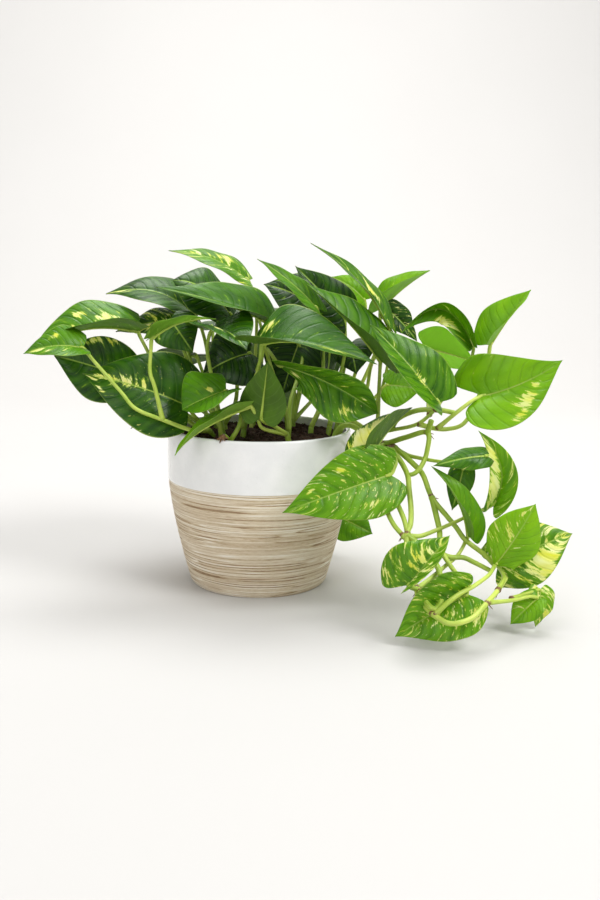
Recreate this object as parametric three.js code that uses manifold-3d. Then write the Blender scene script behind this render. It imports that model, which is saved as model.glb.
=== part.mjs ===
// A potted pothos: a glazed cylindrical planter filled with soil, a crown of leafy
// stems on long stalks, and two vines that trail over the right-hand rim.
// Millimetres, +Z up. The origin is the centre of the pot's underside. +X is the side
// over which the vines trail, and -Y is the front.
import * as THREE from 'three';
import { mergeVertices } from 'three/addons/utils/BufferGeometryUtils.js';
import Module from 'manifold-3d';

const wasm = await Module();
wasm.setup();

// The pot
const RIM_RADIUS = 82;
const FOOT_RADIUS = 62;
const POT_HEIGHT = 140.6;
const BAND_TOP = 96;
const BAND_CURVE = 1.4;
const FOOT_ROUND = 2;
const WALL = 4.4;
const RIM_ROUND = 1.6;
const FLOOR_THICKNESS = 7;
const FLOOR_RISE = 2;
const INNER_CORNER = 10;
const POT_SIDES = 36;
const OUTER_LEVELS = 7;
const INNER_LEVELS = 3;

// The soil
const SOIL_TOP = 133;
const SOIL_HUMP = 3;
const SOIL_BUMP = 1.4;
const LUMP_WAVES = [0.19, 0.23, 0.41, 0.37];
const SOIL_SIDES = 22;
const SOIL_LEVELS = 4;
const SOIL_RINGS = [0.94, 0.8, 0.62, 0.42, 0.2];
const SIDE_GAP = 0.7;
const FIT_GAP = 0.4;

// Stems and stalks
const VINE_RADIUS = 2.4;
const STALK_RADIUS = 1.9;
const VINE_SIDES = 5;
const STALK_SIDES = 4;
const STEP = 18;
const SUNK_INTO_BLADE = 0.06;

// The outline of half a blade against s, from 0 at the stalk to 1 at the tip
const NOTCH = 0.1;
const SHOULDER = 0.66;
const TAPER = 1.25;
const WIDEST_AT = (SHOULDER - NOTCH * TAPER) / (SHOULDER + TAPER);
const WIDEST = (WIDEST_AT + NOTCH) ** SHOULDER * (1 - WIDEST_AT) ** TAPER;
const LOBE_TURN = 0.62 * Math.PI;
const LOBE_ROUND = 1.3;
const LOBE_FADE = 3;
const NO_CURL = 1e-6;
const FOLD_EASE = 0.35;
const TWIST_FROM = 0.35;

// Each blade's solid
const HALF_THICKNESS = 0.4;
const ROWS = [0, 0.08, 0.22, 0.4, 0.6, 0.8];
const FEW_ROWS = [0, 0.1, 0.3, 0.55, 0.8];
const NARROW = 59;
const COLUMNS = [-1, -0.5, 0, 0.5, 1];
const EDGE_WAVE = 1.2;
const WAVE_COUNT = 2.3;
const WAVE_SHIFT = 0.37;
const SLOPE_STEP = 0.01;

const PLAIN_LEAF = {
  arch: 8, bend: 0, peak: 0.45, fold: [20, 20], curl: [-30, -30], twist: 0, lobe: 0.13, belly: 1,
};

// Every leafy stem. A blade runs from its base to its tip; its upper side looks along
// face; arch lifts the midrib towards the face and bend shifts it to the right; fold and
// curl turn the left and right halves up, in degrees; lobe is how far they reach back
// past the base, as a share of the length, and belly above 1 widens the blade nearer
// its tip. Its stalk starts in the soil or on an earlier stalk or vine of its stem.
const LEAFY_STEMS = {
  stem_left_front: {
    vines: [[[-33, -25, 123], [-43, -36, 142]]],
    leaves: [
      { base: [-147, -50, 213], tip: [-195, -56, 208], face: [-2, -16, 12], width: 40,
        arch: 7, fold: [42, 15], curl: [-10, -20], lobe: 0.06,
        stalk: [[-43, -36, 142], [-58, -55, 146], [-81, -60, 155], [-103, -60, 164],
          [-115, -57, 177], [-128, -56, 192], [-138, -54, 203]] },
      { base: [-89, -62, 223], tip: [-36, -64, 239], face: [0, 6, 19], width: 36,
        arch: 6, fold: [35, 20], lobe: 0.1,
        stalk: [[-81, -60, 155], [-87, -61, 182], [-91, -60, 195], [-90, -60, 213]] },
      { base: [-108, -5, 225], tip: [-198, -20, 207], face: [-2, -12, 16], width: 66,
        arch: 13, fold: [58, 20], curl: [-5, -15], lobe: 0.03, belly: 1.4,
        stalk: [[-43, -36, 142], [-62, -28, 150], [-81, -17, 181], [-92, -11, 195],
          [-100, -8, 210], [-105, -6, 219]] },
    ],
  },
  stem_left_low: {
    vines: [[[-40, -12, 121], [-47, -13, 142]]],
    leaves: [
      { base: [-62, -38, 164], tip: [-152, -33, 190], face: [-4, -16, 10], width: 78,
        arch: 10, lobe: [0.04, 0.13],
        stalk: [[-47, -13, 142], [-56, -33, 154]] },
      { base: [-116, 5, 181], tip: [-180, -10, 203], face: [-2, -17, 8], width: 60,
        arch: 6, fold: [5, 50], lobe: 0.05, belly: 1.4,
        stalk: [[-47, -13, 142], [-85, 4, 162], [-103, 5, 174]] },
      { base: [-73, 14, 233], tip: [-130, 14, 223], face: [0, -12, 16], width: 38,
        arch: 4,
        stalk: [[-47, -13, 142], [-49, -4, 156], [-63, 8, 200], [-69, 13, 222]] },
    ],
  },
  stem_left_back: {
    vines: [[[-29, 2, 120], [-32, 6, 142]]],
    leaves: [
      { base: [-59, 30, 236], tip: [-140, 25, 256], face: [-2, -11, 16], width: 56,
        arch: 17, fold: [35, 15], lobe: 0.03, belly: 1.25,
        stalk: [[-32, 6, 142], [-42, 12, 163], [-49, 25, 207], [-55, 29, 229]] },
      { base: [-26, 20, 238], tip: [-78, 5, 269], face: [-4, -14, 14], width: 54,
        arch: 13, fold: [10, 5], lobe: 0.05, peak: 0.7, belly: 1.8,
        stalk: [[-32, 6, 142], [-22, 12, 163], [-21, 20, 208], [-22, 20, 229]] },
    ],
  },
  stem_left_high: {
    leaves: [
      { base: [-12, 60, 270], tip: [-86, 50, 296], face: [-6, -8, 17], width: 42,
        arch: 8, lobe: 0.05,
        stalk: [[-9, 20, 117], [-6, 38, 179], [-4, 54, 234], [-9, 60, 260]] },
    ],
  },
  stem_left_inner: {
    vines: [[[-16, -22, 123], [-14, -20, 142]]],
    leaves: [
      { base: [4, 0, 235], tip: [-91, -27, 264], face: [-2, -15, 13], width: 66,
        arch: 6, fold: [60, 5], curl: [-5, -20], lobe: [0.02, 0.14], peak: 0.3, belly: 0.9,
        stalk: [[-14, -20, 142], [-8, -17, 176], [3, -11, 212], [5, -6, 226]] },
      { base: [-9, -2, 207], tip: [-52, -4, 186], face: [-2, -18, 8], width: 60,
        arch: 8,
        stalk: [[-14, -20, 142], [-10, -12, 162], [-7, -5, 186], [-7, -3, 199]] },
    ],
  },
  stem_left_middle: {
    vines: [[[-28, -28, 122], [-33, -26, 142]]],
    leaves: [
      { base: [-42, -20, 228], tip: [-11, -70, 214], face: [6, -11, 16], width: 60,
        arch: 6, fold: [35, 28], curl: [-10, -20], lobe: 0.2,
        stalk: [[-33, -26, 142], [-38, -22, 167], [-46, -16, 206], [-45, -17, 221]] },
      { base: [-78, -19, 236], tip: [-58, -24, 208], face: [0, -18, 8], width: 44,
        arch: 3, fold: 0,
        stalk: [[-33, -26, 142], [-53, -18, 175], [-70, -17, 218], [-77, -19, 231]] },
    ],
  },
  stem_front_small: {
    leaves: [
      { base: [-28, -60, 180], tip: [-64, -72, 165], face: [0, -16, 12], width: 60,
        arch: 3, fold: [60, 0], curl: [-10, -10], belly: 2,
        stalk: [[-31, -44, 121], [-35, -50, 156], [-37, -54, 169], [-34, -58, 176]] },
    ],
  },
  stem_front_arching: {
    leaves: [
      { base: [1, -60, 219], tip: [95, -80, 205], face: [0, -16, 12], width: 82,
        arch: 13, fold: [-5, 66], curl: [-5, 0], lobe: [0.15, 0.03], peak: 0.3,
        stalk: [[-30, -52, 128], [-24, -56, 138], [-17, -55, 151], [-15, -50, 166], [-9, -48, 181],
          [-2, -53, 196], [0, -60, 210]] },
    ],
  },
  stem_front_rim: {
    vines: [[[28, -48, 124], [23, -50, 142]]],
    leaves: [
      { base: [-8, -62, 168], tip: [-69, -84, 129], face: [-9, 0, 18], width: 30,
        arch: 6, fold: [30, 30], curl: [-5, -5], lobe: 0.03, peak: 0.7,
        stalk: [[23, -50, 142], [3, -58, 148], [-2, -60, 157]] },
      { base: [1, -64, 158], tip: [6, -64, 206], face: [2, 18, 3], width: 40,
        arch: 2,
        stalk: [[23, -50, 142], [12, -56, 150], [4, -60, 154]] },
    ],
  },
  stem_centre: {
    vines: [[[25, -28, 123], [25, -30, 142]]],
    leaves: [
      { base: [15, -50, 201], tip: [98, -72, 164], face: [1, -17, 4], width: 56,
        arch: 5, bend: -4, fold: [98, 8], curl: [-10, 0], lobe: [0, -0.25], belly: 3,
        stalk: [[25, -30, 142], [21, -28, 164], [10, -25, 194], [5, -36, 212], [8, -46, 211]] },
      { base: [35, 27, 215], tip: [20, 24, 166], face: [-2, -18, 7], width: 60,
        arch: 4,
        stalk: [[25, -30, 142], [27, -14, 166], [38, 18, 198]] },
    ],
  },
  stem_centre_tall: {
    vines: [[[44, -12, 120], [46, -8, 142]]],
    leaves: [
      { base: [49, -8, 247], tip: [-4, -10, 289], face: [6, -12, 12], width: 28,
        arch: 4, fold: [35, 20],
        stalk: [[46, -8, 142], [55, -6, 166], [55, -6, 219], [51, -7, 239]] },
      { base: [60, 8, 218], tip: [57, 6, 180], face: [14, -9, 3], width: 34,
        arch: 4,
        stalk: [[46, -8, 142], [56, 4, 166], [61, 2, 205]] },
    ],
  },
  stem_centre_back: {
    vines: [[[60, -4, 121], [63, 0, 142]]],
    leaves: [
      { base: [76, 24, 238], tip: [30, 20, 284], face: [-8, -12, 11], width: 44,
        arch: 4, fold: [35, 20],
        stalk: [[63, 0, 142], [66, 5, 158], [71, 12, 181], [77, 18, 207], [77, 23, 228]] },
      { base: [82, 31, 214], tip: [88, 18, 187], face: [0, -19, 6], width: 44,
        arch: 4,
        stalk: [[63, 0, 142], [70, 15, 163], [79, 27, 199]] },
    ],
  },
  stem_right_upright: {
    leaves: [
      { base: [112, -10, 234], tip: [41, -20, 303], face: [15, -7, 12], width: 36,
        arch: 8, curl: [-10, -10],
        stalk: [[66, -14, 123], [73, -17, 143], [81, -18, 154], [93, -17, 174],
          [98, -12, 199], [109, -10, 221]] },
    ],
  },
  stem_right_back: {
    vines: [[[66, 8, 121], [71, 9, 143]]],
    leaves: [
      { base: [109, 26, 246], tip: [152, 17, 282], face: [2, -12, 16], width: 46,
        arch: 4, fold: [8, 80], curl: [-20, 0], belly: 1.15,
        stalk: [[71, 9, 143], [93, 14, 180], [109, 22, 219], [109, 25, 237]] },
      { base: [96, 41, 254], tip: [65, 42, 275], face: [0, -14, 12], width: 40,
        arch: 4,
        stalk: [[71, 9, 143], [83, 26, 172], [97, 36, 218], [97, 40, 244]] },
      { base: [112, 15, 248], tip: [142, 12, 218], face: [4, -16, 10], width: 26,
        arch: 3, fold: [50, 20], lobe: 0.03,
        stalk: [[71, 9, 143], [102, 4, 159], [114, 9, 190], [117, 13, 224], [114, 14, 241]] },
      { base: [113, -3, 180], tip: [145, -3, 176], face: [0, -16, 10], width: 44,
        arch: 2, fold: [0, 20],
        stalk: [[71, 9, 143], [87, 4, 152], [102, -1, 167]] },
    ],
  },
  vine_right: {
    vines: [
      [[114, -33, 144], [120, -37, 155], [135, -44, 163], [151, -54, 165], [163, -63, 164]],
    ],
    leaves: [
      { base: [184, -28, 218], tip: [121, -25, 227], face: [0, -17, 10], width: 40,
        arch: 4, bend: 28, fold: [30, 112], curl: [-10, 0], twist: -40, lobe: 0.08, peak: 0.5,
        stalk: [[66, -6, 121], [73, -9, 144], [82, -16, 149], [99, -26, 141],
          [117, -36, 145], [135, -48, 152], [148, -54, 165], [153, -53, 172], [167, -41, 186],
          [180, -31, 202], [184, -28, 211]] },
      { base: [150, -60, 172], tip: [91, -50, 236], face: [0, -17, 10], width: 58,
        arch: 5, fold: [57, 10], curl: [-10, -20], lobe: 0.06,
        stalk: [[148, -55, 165], [150, -58, 169]] },
      { base: [196, -40, 220], tip: [228, -42, 267], face: [-8, -16, 6], width: 48,
        arch: 3, fold: [0, 84], curl: [-15, 0], lobe: [0.13, 0], belly: 1.15,
        stalk: [[135, -48, 152], [148, -52, 149], [159, -56, 149], [171, -58, 153], [180, -54, 164],
          [187, -46, 177], [192, -40, 191], [195, -39, 206]] },
      { base: [186, -60, 178], tip: [250, -70, 210], face: [0, -18, 8], width: 74,
        arch: 6, bend: 5, fold: [24, 34], twist: 60, lobe: [0.36, 0.14], belly: 0.75,
        stalk: [[151, -53, 149], [163, -64, 163], [176, -66, 174]] },
      { base: [150, 20, 212], tip: [192, -10, 201], face: [4, 18, 6], width: 54,
        arch: 4, fold: [60, 0], belly: 1.1,
        stalk: [[144, -52, 160], [146, -30, 175], [148, 0, 194]] },
      { base: [102, -40, 205], tip: [37, -50, 269], face: [8, -15, 10], width: 62,
        arch: 5, fold: [66, 5], curl: [0, -15],
        stalk: [[98, -28, 140], [102, -33, 149], [102, -38, 180], [102, -40, 197]] },
    ],
  },
  vine_trailing: {
    vines: [
      [[60, -25, 121], [68, -29, 142], [78, -34, 148], [94, -36, 139],
       [108, -38, 132], [114, -46, 128], [120, -58, 121], [124, -72, 112], [124, -82, 103],
       [124, -96, 89], [122, -108, 79], [118, -116, 72],
       [118, -126, 59], [119, -140, 47], [122, -150, 39], [122, -156, 35], [125, -168, 32],
       [131, -178, 28], [139, -186, 25], [148, -188, 26], [159, -184, 29], [172, -170, 35],
       [185, -150, 38], [196, -130, 41]],
      [[108, -38, 132], [126, -46, 140], [142, -57, 146], [141, -64, 131], [136, -70, 120],
       [130, -73, 114], [124, -72, 112]],
      [[142, -57, 146], [144, -62, 157]],
      [[113, -45, 128], [102, -74, 108], [104, -95, 89], [109, -106, 78], [117, -117, 70]],
      [[113, -45, 128], [107, -74, 108], [112, -92, 95], [117, -104, 83], [119, -114, 73]],
      [[108, -38, 132], [118, -44, 129], [132, -60, 118], [138, -68, 111], [143, -84, 96],
       [153, -98, 84], [160, -105, 76], [166, -114, 68], [180, -120, 58], [188, -121, 50]],
      [[143, -84, 96], [145, -97, 83], [146, -107, 74], [145, -122, 61], [152, -125, 57],
       [163, -123, 56], [172, -123, 52], [185, -121, 45]],
      [[118, -116, 72], [130, -121, 64], [136, -128, 57], [140, -138, 52], [141, -150, 44],
       [139, -164, 38], [134, -174, 33], [129, -176, 33], [124, -166, 37], [123, -152, 38]],
    ],
    leaves: [
      { base: [91, -82, 130], tip: [130, -47, 166], face: [-10, -15, 10], width: 56,
        arch: 5, fold: [5, 84], curl: [-20, 0], lobe: [0.3, 0],
        stalk: [[108, -38, 132], [101, -54, 132], [93, -73, 131]] },
      { base: [107, -89, 116], tip: [18, -117, 90], face: [0, -17, 10], width: 61,
        arch: 3, fold: [6, 38], curl: [-20, -20], lobe: 0.09,
        stalk: [[111, -42, 130], [115, -62, 123], [111, -81, 119]] },
      { base: [79, 50, 44], tip: [111, 44, 29], face: [0, -18, 6], width: 42,
        arch: 3,
        stalk: [[101, -36, 136], [101, -10, 124], [96, 25, 96], [88, 44, 65]] },
      { base: [193, -91, 92], tip: [178, -87, 153], face: [-4, -19, 2], width: 28,
        arch: 4, bend: 12, fold: [64, 42], belly: 1.1,
        stalk: [[118, -116, 72], [129, -114, 71], [143, -110, 75], [156, -105, 79], [168, -100, 83],
          [181, -94, 87]] },
      { base: [113, -163, 46], tip: [144, -158, 84], face: [0, -16, 10], width: 58,
        arch: 5, fold: [0, 88], curl: [-25, 0], lobe: [0.3, 0],
        stalk: [[122, -150, 39], [118, -158, 42]] },
      { base: [169, -110, 70], tip: [138, -100, 126], face: [4, -16, 4], width: 37,
        arch: 4, bend: 5, fold: [85, 0], curl: [0, -20], lobe: [0, 0.13], belly: 0.85,
        stalk: [[122, -150, 39], [134, -140, 44], [146, -130, 50], [159, -120, 57], [167, -112, 67]] },
      { base: [188, -125, 50], tip: [218, -125, 101], face: [4, -18, 6], width: 45,
        arch: 4, fold: [10, 15], lobe: [-0.12, -0.1], belly: 1.6,
        stalk: [[131, -178, 28], [140, -177, 37], [151, -172, 43], [164, -162, 46], [179, -143, 48]] },
      { base: [195, -108, 45], tip: [253, -114, 74], face: [0, -16, 10], width: 56,
        arch: 8, fold: [20, 8], belly: 1.3,
        stalk: [[185, -150, 38], [194, -132, 42], [195, -118, 44]] },
      { base: [220, -139, 28], tip: [198, -144, 8], face: [-6, -16, 8], width: 24,
        arch: 3, belly: 1.3,
        stalk: [[172, -170, 35], [195, -156, 32], [212, -144, 31]] },
      { base: [224, -130, 32], tip: [221, -134, 2], face: [6, -16, 8], width: 26,
        arch: 4,
        stalk: [[195, -152, 32], [211, -140, 32], [220, -133, 32]] },
      { base: [158, -164, 40], tip: [103, -170, 8], face: [0, -12, 16], width: 58,
        arch: 1, fold: [-5, 74], curl: [-20, 0],
        stalk: [[145, -122, 61], [151, -136, 52], [155, -152, 48]] },
      { base: [184, -98, 134], tip: [139, -103, 126], face: [0, -16, 12], width: 22,
        arch: 4, fold: [0, 0],
        stalk: [[118, -44, 129], [127, -50, 125], [135, -56, 124], [145, -68, 124], [155, -80, 125],
          [169, -88, 126], [180, -94, 132]] },
      { base: [168, -85, 121], tip: [160, -85, 85], face: [0, -14, 12], width: 23,
        arch: 4,
        stalk: [[161, -83, 126], [165, -84, 125]] },
    ],
  },
  stem_back_left: {
    vines: [[[-38, 22, 118], [-41, 26, 142]]],
    leaves: [
      { base: [-60, 46, 200], tip: [-106, 84, 164], face: [-4, 6, 7], width: 62,
        arch: 10,
        stalk: [[-41, 26, 142], [-50, 36, 174]] },
      { base: [-46, 66, 224], tip: [-86, 116, 212], face: [-3, 4, 9], width: 58,
        arch: 9,
        stalk: [[-41, 26, 142], [-44, 52, 190]] },
      { base: [-66, 40, 160], tip: [-124, 58, 128], face: [-5, 3, 8], width: 50,
        arch: 8,
        stalk: [[-41, 26, 142], [-60, 36, 154]] },
    ],
  },
  stem_back_middle: {
    vines: [[[-8, 36, 118], [-6, 40, 142]]],
    leaves: [
      { base: [-18, 70, 208], tip: [-28, 124, 164], face: [-1, 8, 7], width: 66,
        arch: 10,
        stalk: [[-6, 40, 142], [-14, 58, 184]] },
      { base: [-2, 70, 236], tip: [0, 134, 228], face: [0, 4, 9], width: 54,
        arch: 9,
        stalk: [[-6, 40, 142], [2, 58, 206]] },
      { base: [8, 76, 164], tip: [16, 122, 116], face: [1, 8, 6], width: 54,
        arch: 8,
        stalk: [[-6, 40, 142], [2, 66, 158]] },
    ],
  },
  stem_back_right: {
    vines: [[[30, 26, 118], [31, 29, 142]]],
    leaves: [
      { base: [42, 60, 206], tip: [74, 106, 168], face: [3, 7, 8], width: 60,
        arch: 10,
        stalk: [[31, 29, 142], [40, 52, 186]] },
      { base: [58, 56, 168], tip: [104, 96, 142], face: [5, 4, 8], width: 52,
        arch: 8,
        stalk: [[31, 29, 142], [52, 48, 162]] },
      { base: [42, 66, 238], tip: [66, 112, 248], face: [2, 4, 9], width: 50,
        arch: 8,
        stalk: [[31, 29, 142], [34, 54, 206]] },
      { base: [50, 40, 246], tip: [2, 36, 267], face: [-2, -14, 10], width: 58,
        arch: 7,
        stalk: [[31, 29, 142], [42, 42, 186], [52, 46, 228]] },
    ],
  },};

const degrees = THREE.MathUtils.degToRad;
const vector = (p) => new THREE.Vector3(...p);
const pair = (v) => (Array.isArray(v) ? v : [v, v]);

// ---- solids -------------------------------------------------------------------

function solidOf(geometry) {
  geometry.deleteAttribute('normal');
  geometry.deleteAttribute('uv');
  const merged = mergeVertices(geometry);
  return new wasm.Manifold(new wasm.Mesh({
    numProp: 3,
    vertProperties: new Float32Array(merged.attributes.position.array),
    triVerts: new Uint32Array(merged.index.array),
  }));
}

function geometryOf(solid) {
  const { vertProperties, triVerts } = solid.getMesh();
  const geometry = new THREE.BufferGeometry();
  geometry.setAttribute('position', new THREE.BufferAttribute(vertProperties, 3));
  geometry.setIndex(new THREE.BufferAttribute(triVerts, 1));
  geometry.computeVertexNormals();
  return geometry;
}

const joined = (solids) => solids.reduce((all, solid) => all.add(solid));

// ---- leaves -------------------------------------------------------------------

const halfWidth = (s) => (s + NOTCH) ** SHOULDER * Math.max(1 - s, 0) ** TAPER / WIDEST;

// The frame that a blade is built in: its midrib curve, facing and length.
function bladeFrame(leaf) {
  const base = vector(leaf.base);
  const tip = vector(leaf.tip);
  const chord = tip.clone().sub(base);
  const length = chord.length();
  const along = chord.clone().normalize();
  const face = vector(leaf.face);
  face.addScaledVector(along, -face.dot(along)).normalize();
  const side = along.clone().cross(face);
  const control = base.clone().addScaledVector(chord, leaf.peak)
    .addScaledVector(face, 2 * leaf.arch).addScaledVector(side, 2 * leaf.bend);
  return { midrib: new THREE.QuadraticBezierCurve3(base, control, tip), face, length };
}

// A point of the blade's middle surface: s runs along the midrib, and t across it,
// from -1 at the left edge to 1 at the right.
function bladePoint(leaf, frame, s, t) {
  const along = frame.midrib.getTangent(s);
  const up = frame.face.clone();
  up.addScaledVector(along, -up.dot(along)).normalize();
  up.applyAxisAngle(along, degrees(leaf.twist) * (s - TWIST_FROM));
  const side = along.clone().cross(up);
  const half = t < 0 ? 0 : 1;
  const reach = Math.abs(t);
  const width = leaf.width / 2 * halfWidth(s ** leaf.belly);
  const fold = degrees(pair(leaf.fold)[half] * (1 - FOLD_EASE * s));
  const curl = degrees(pair(leaf.curl)[half]) || NO_CURL;
  const out = (Math.sin(fold + curl * reach) - Math.sin(fold)) / curl;
  const lift = (Math.cos(fold) - Math.cos(fold + curl * reach)) / curl;
  const lobe = Math.max(Math.sin(reach * LOBE_TURN), 0) ** LOBE_ROUND * (1 - s) ** LOBE_FADE;
  const turn = 2 * Math.PI * (WAVE_COUNT * s + leaf.phase + WAVE_SHIFT * half);
  const wave = EDGE_WAVE * reach ** 2 * Math.sin(turn) * Math.sqrt(Math.max(1 - s, 0));
  return frame.midrib.getPoint(s)
    .addScaledVector(along, -pair(leaf.lobe)[half] * frame.length * lobe)
    .addScaledVector(side, Math.sign(t) * out * width)
    .addScaledVector(up, lift * width + wave);
}

function bladeNormal(leaf, frame, s, t) {
  const low = Math.max(s - SLOPE_STEP, 0);
  const along = bladePoint(leaf, frame, low + 2 * SLOPE_STEP, t)
    .sub(bladePoint(leaf, frame, low, t));
  const across = bladePoint(leaf, frame, s, t + SLOPE_STEP)
    .sub(bladePoint(leaf, frame, s, t - SLOPE_STEP));
  return across.cross(along).normalize();
}

// Two faces alike in their triangles, an even thickness apart, with a rim between.
function bladeSolid(leaf) {
  const frame = bladeFrame(leaf);
  const rows = leaf.width < NARROW ? FEW_ROWS : ROWS;
  const points = [];
  const triangles = [];
  const across = COLUMNS.length;
  const tip = rows.length * across;
  const layer = tip + 1;
  for (const offset of [HALF_THICKNESS, -HALF_THICKNESS]) {
    for (const s of rows) {
      for (const t of COLUMNS) {
        points.push(bladePoint(leaf, frame, s, t)
          .addScaledVector(bladeNormal(leaf, frame, s, t), offset));
      }
    }
    const end = bladePoint(leaf, frame, 1, 0);
    points.push(end.addScaledVector(bladeNormal(leaf, frame, rows.at(-1), 0), offset));
  }
  const both = (a, b, c) => triangles.push(a, b, c, a + layer, c + layer, b + layer);
  const rim = (a, b) => triangles.push(a, b, a + layer, b, b + layer, a + layer);
  for (let row = 0; row < rows.length; row += 1) {
    const start = row * across;
    const last = row === rows.length - 1;
    for (let k = start; k < start + across - 1; k += 1) {
      if (last) both(k, k + 1, tip);
      else {
        both(k, k + 1, k + across);
        both(k + 1, k + across + 1, k + across);
      }
      if (row === 0) rim(k + 1, k);
    }
    rim(start, last ? tip : start + across);
    rim(last ? tip : start + 2 * across - 1, start + across - 1);
  }
  const geometry = new THREE.BufferGeometry().setFromPoints(points);
  geometry.setIndex(triangles);
  return solidOf(geometry);
}

// ---- stems --------------------------------------------------------------------

function tubeSolid(points, radius, sides) {
  const curve = new THREE.CatmullRomCurve3(points.map(vector), false, 'catmullrom', 0.5);
  const ring = new THREE.Shape();
  for (let k = 0; k < sides; k += 1) {
    const turn = 2 * Math.PI * k / sides;
    const [x, y] = [radius * Math.cos(turn), radius * Math.sin(turn)];
    if (k) ring.lineTo(x, y);
    else ring.moveTo(x, y);
  }
  const steps = Math.max(3, Math.round(curve.getLength() / STEP));
  const options = { steps, extrudePath: curve, bevelEnabled: false };
  return solidOf(new THREE.ExtrudeGeometry(ring, options));
}

function stalkPoints(leaf) {
  const { midrib } = bladeFrame(leaf);
  return [...leaf.stalk, leaf.base, midrib.getPoint(SUNK_INTO_BLADE).toArray()];
}

// The paths of a stem's vines and stalks, each with its radius and number of sides.
const stemPaths = (stem) => [
  ...(stem.vines ?? []).map((points) => [points, VINE_RADIUS, VINE_SIDES]),
  ...stem.leaves.map((leaf) => [stalkPoints(leaf), STALK_RADIUS, STALK_SIDES]),
];

// The outer skin alone is kept, so that no small hollow stays sealed between blades.
function leafySolid(stem) {
  const tubes = stemPaths(stem).map((path) => tubeSolid(...path));
  const skins = joined([...tubes, ...stem.leaves.map(bladeSolid)]).decompose();
  return skins.reduce((best, skin) => (skin.volume() > best.volume() ? skin : best));
}

// ---- pot and soil ---------------------------------------------------------------

// The outer radius is straight down to the band, then draws in towards the foot.
function potRadius(z) {
  const below = Math.max(1 - z / BAND_TOP, 0);
  return RIM_RADIUS - (RIM_RADIUS - FOOT_RADIUS) * below ** BAND_CURVE;
}

const wallLevels = (low, high, count) => Array.from({ length: count + 1 },
  (_, k) => low + (high - low) * k / count);

const turned = (profile, sides) => (
  new THREE.LatheGeometry(profile.map((p) => new THREE.Vector2(...p)), sides));

function potSolid() {
  const corner = FLOOR_THICKNESS + INNER_CORNER;
  const outer = wallLevels(FOOT_ROUND, BAND_TOP, OUTER_LEVELS).map((z) => [potRadius(z), z]);
  const inner = wallLevels(BAND_TOP, corner, INNER_LEVELS).map((z) => [potRadius(z) - WALL, z]);
  const lip = RIM_RADIUS - WALL;
  return solidOf(turned([
    [0, 0], [FOOT_RADIUS - FOOT_ROUND, 0], ...outer,
    [RIM_RADIUS, POT_HEIGHT - RIM_ROUND], [RIM_RADIUS - RIM_ROUND, POT_HEIGHT],
    [lip + RIM_ROUND, POT_HEIGHT], [lip, POT_HEIGHT - RIM_ROUND], ...inner,
    [inner.at(-1)[0] - INNER_CORNER / 2, FLOOR_THICKNESS + FLOOR_RISE], [0, FLOOR_THICKNESS],
  ], POT_SIDES));
}

// The lumps of the soil's top, from two crossed waves.
function lumpAt(x, y) {
  const [a, b, c, d] = LUMP_WAVES;
  return Math.sin(a * x + 1) * Math.cos(b * y) + Math.sin(c * x - d * y);
}

// The soil's top is humped and lumpy; its side follows the inside of the pot.
function soilBody() {
  const side = (z) => potRadius(z) - WALL - SIDE_GAP;
  const floor = FLOOR_THICKNESS + FLOOR_RISE + FIT_GAP;
  const low = FLOOR_THICKNESS + INNER_CORNER;
  const rim = side(SOIL_TOP);
  const geometry = turned([
    [0, floor], [side(low) - INNER_CORNER, floor + 1],
    ...wallLevels(low, BAND_TOP, SOIL_LEVELS).map((z) => [side(z), z]),
    [rim, SOIL_TOP], ...SOIL_RINGS.map((share) => [share * rim, SOIL_TOP]), [0, SOIL_TOP],
  ], SOIL_SIDES);
  const place = geometry.attributes.position;
  for (let i = 0; i < place.count; i += 1) {
    const [x, y, z] = [place.getX(i), place.getY(i), place.getZ(i)];
    const out = Math.hypot(x, z) / rim;
    if (y < SOIL_TOP - 1 || out > SOIL_RINGS[0] + 0.01) continue;
    const lumps = SOIL_BUMP * lumpAt(x, z) * (1 - out ** 6);
    place.setY(i, y + SOIL_HUMP * (1 - out ** 2) + lumps);
  }
  return solidOf(geometry);
}

// A lathe turns about Y, and the pot stands along Z.
const standing = (solid) => solid.rotate([90, 0, 0]);

// The soil has a hole round each stem that goes down into it, a little wider than that.
function soilSolid(stems) {
  const rooted = stems.flatMap(stemPaths).filter(([points]) => points[0][2] < SOIL_TOP);
  const holes = rooted.map(([points, radius, sides]) => (
    tubeSolid(points, radius + FIT_GAP / Math.cos(Math.PI / sides), sides)));
  return standing(soilBody()).subtract(joined(holes));
}

// ---- the plant -------------------------------------------------------------------

const material = (color, roughness) => new THREE.MeshStandardMaterial({ color, roughness });
const MATERIALS = {
  pot: material('#ece7df', 0.2),
  soil: material('#3b2a22', 0.95),
  leaf: material('#4f9a22', 0.4),
};

const plant = new THREE.Group();

function addPart(name, solid, look) {
  const mesh = new THREE.Mesh(geometryOf(solid), look);
  mesh.name = name;
  plant.add(mesh);
}

const names = Object.keys(LEAFY_STEMS);
const stems = names.map((name, group) => ({
  ...LEAFY_STEMS[name],
  leaves: LEAFY_STEMS[name].leaves.map((leaf, k) => (
    { ...PLAIN_LEAF, ...leaf, phase: WAVE_SHIFT * (3 * group + k) })),
}));

addPart('pot', standing(potSolid()), MATERIALS.pot);
addPart('soil', soilSolid(stems), MATERIALS.soil);
stems.forEach((stem, k) => addPart(names[k], leafySolid(stem), MATERIALS.leaf));

export default plant;
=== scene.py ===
"""The looks of a potted pothos: planter, potting mix, and leafy stems with variegated leaves.

Lengths are millimetres until a mesh is made, and +X, -Y and +Z are right, front and up.
"""
import math

import bpy
import numpy as np
from mathutils import Matrix, Vector


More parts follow.
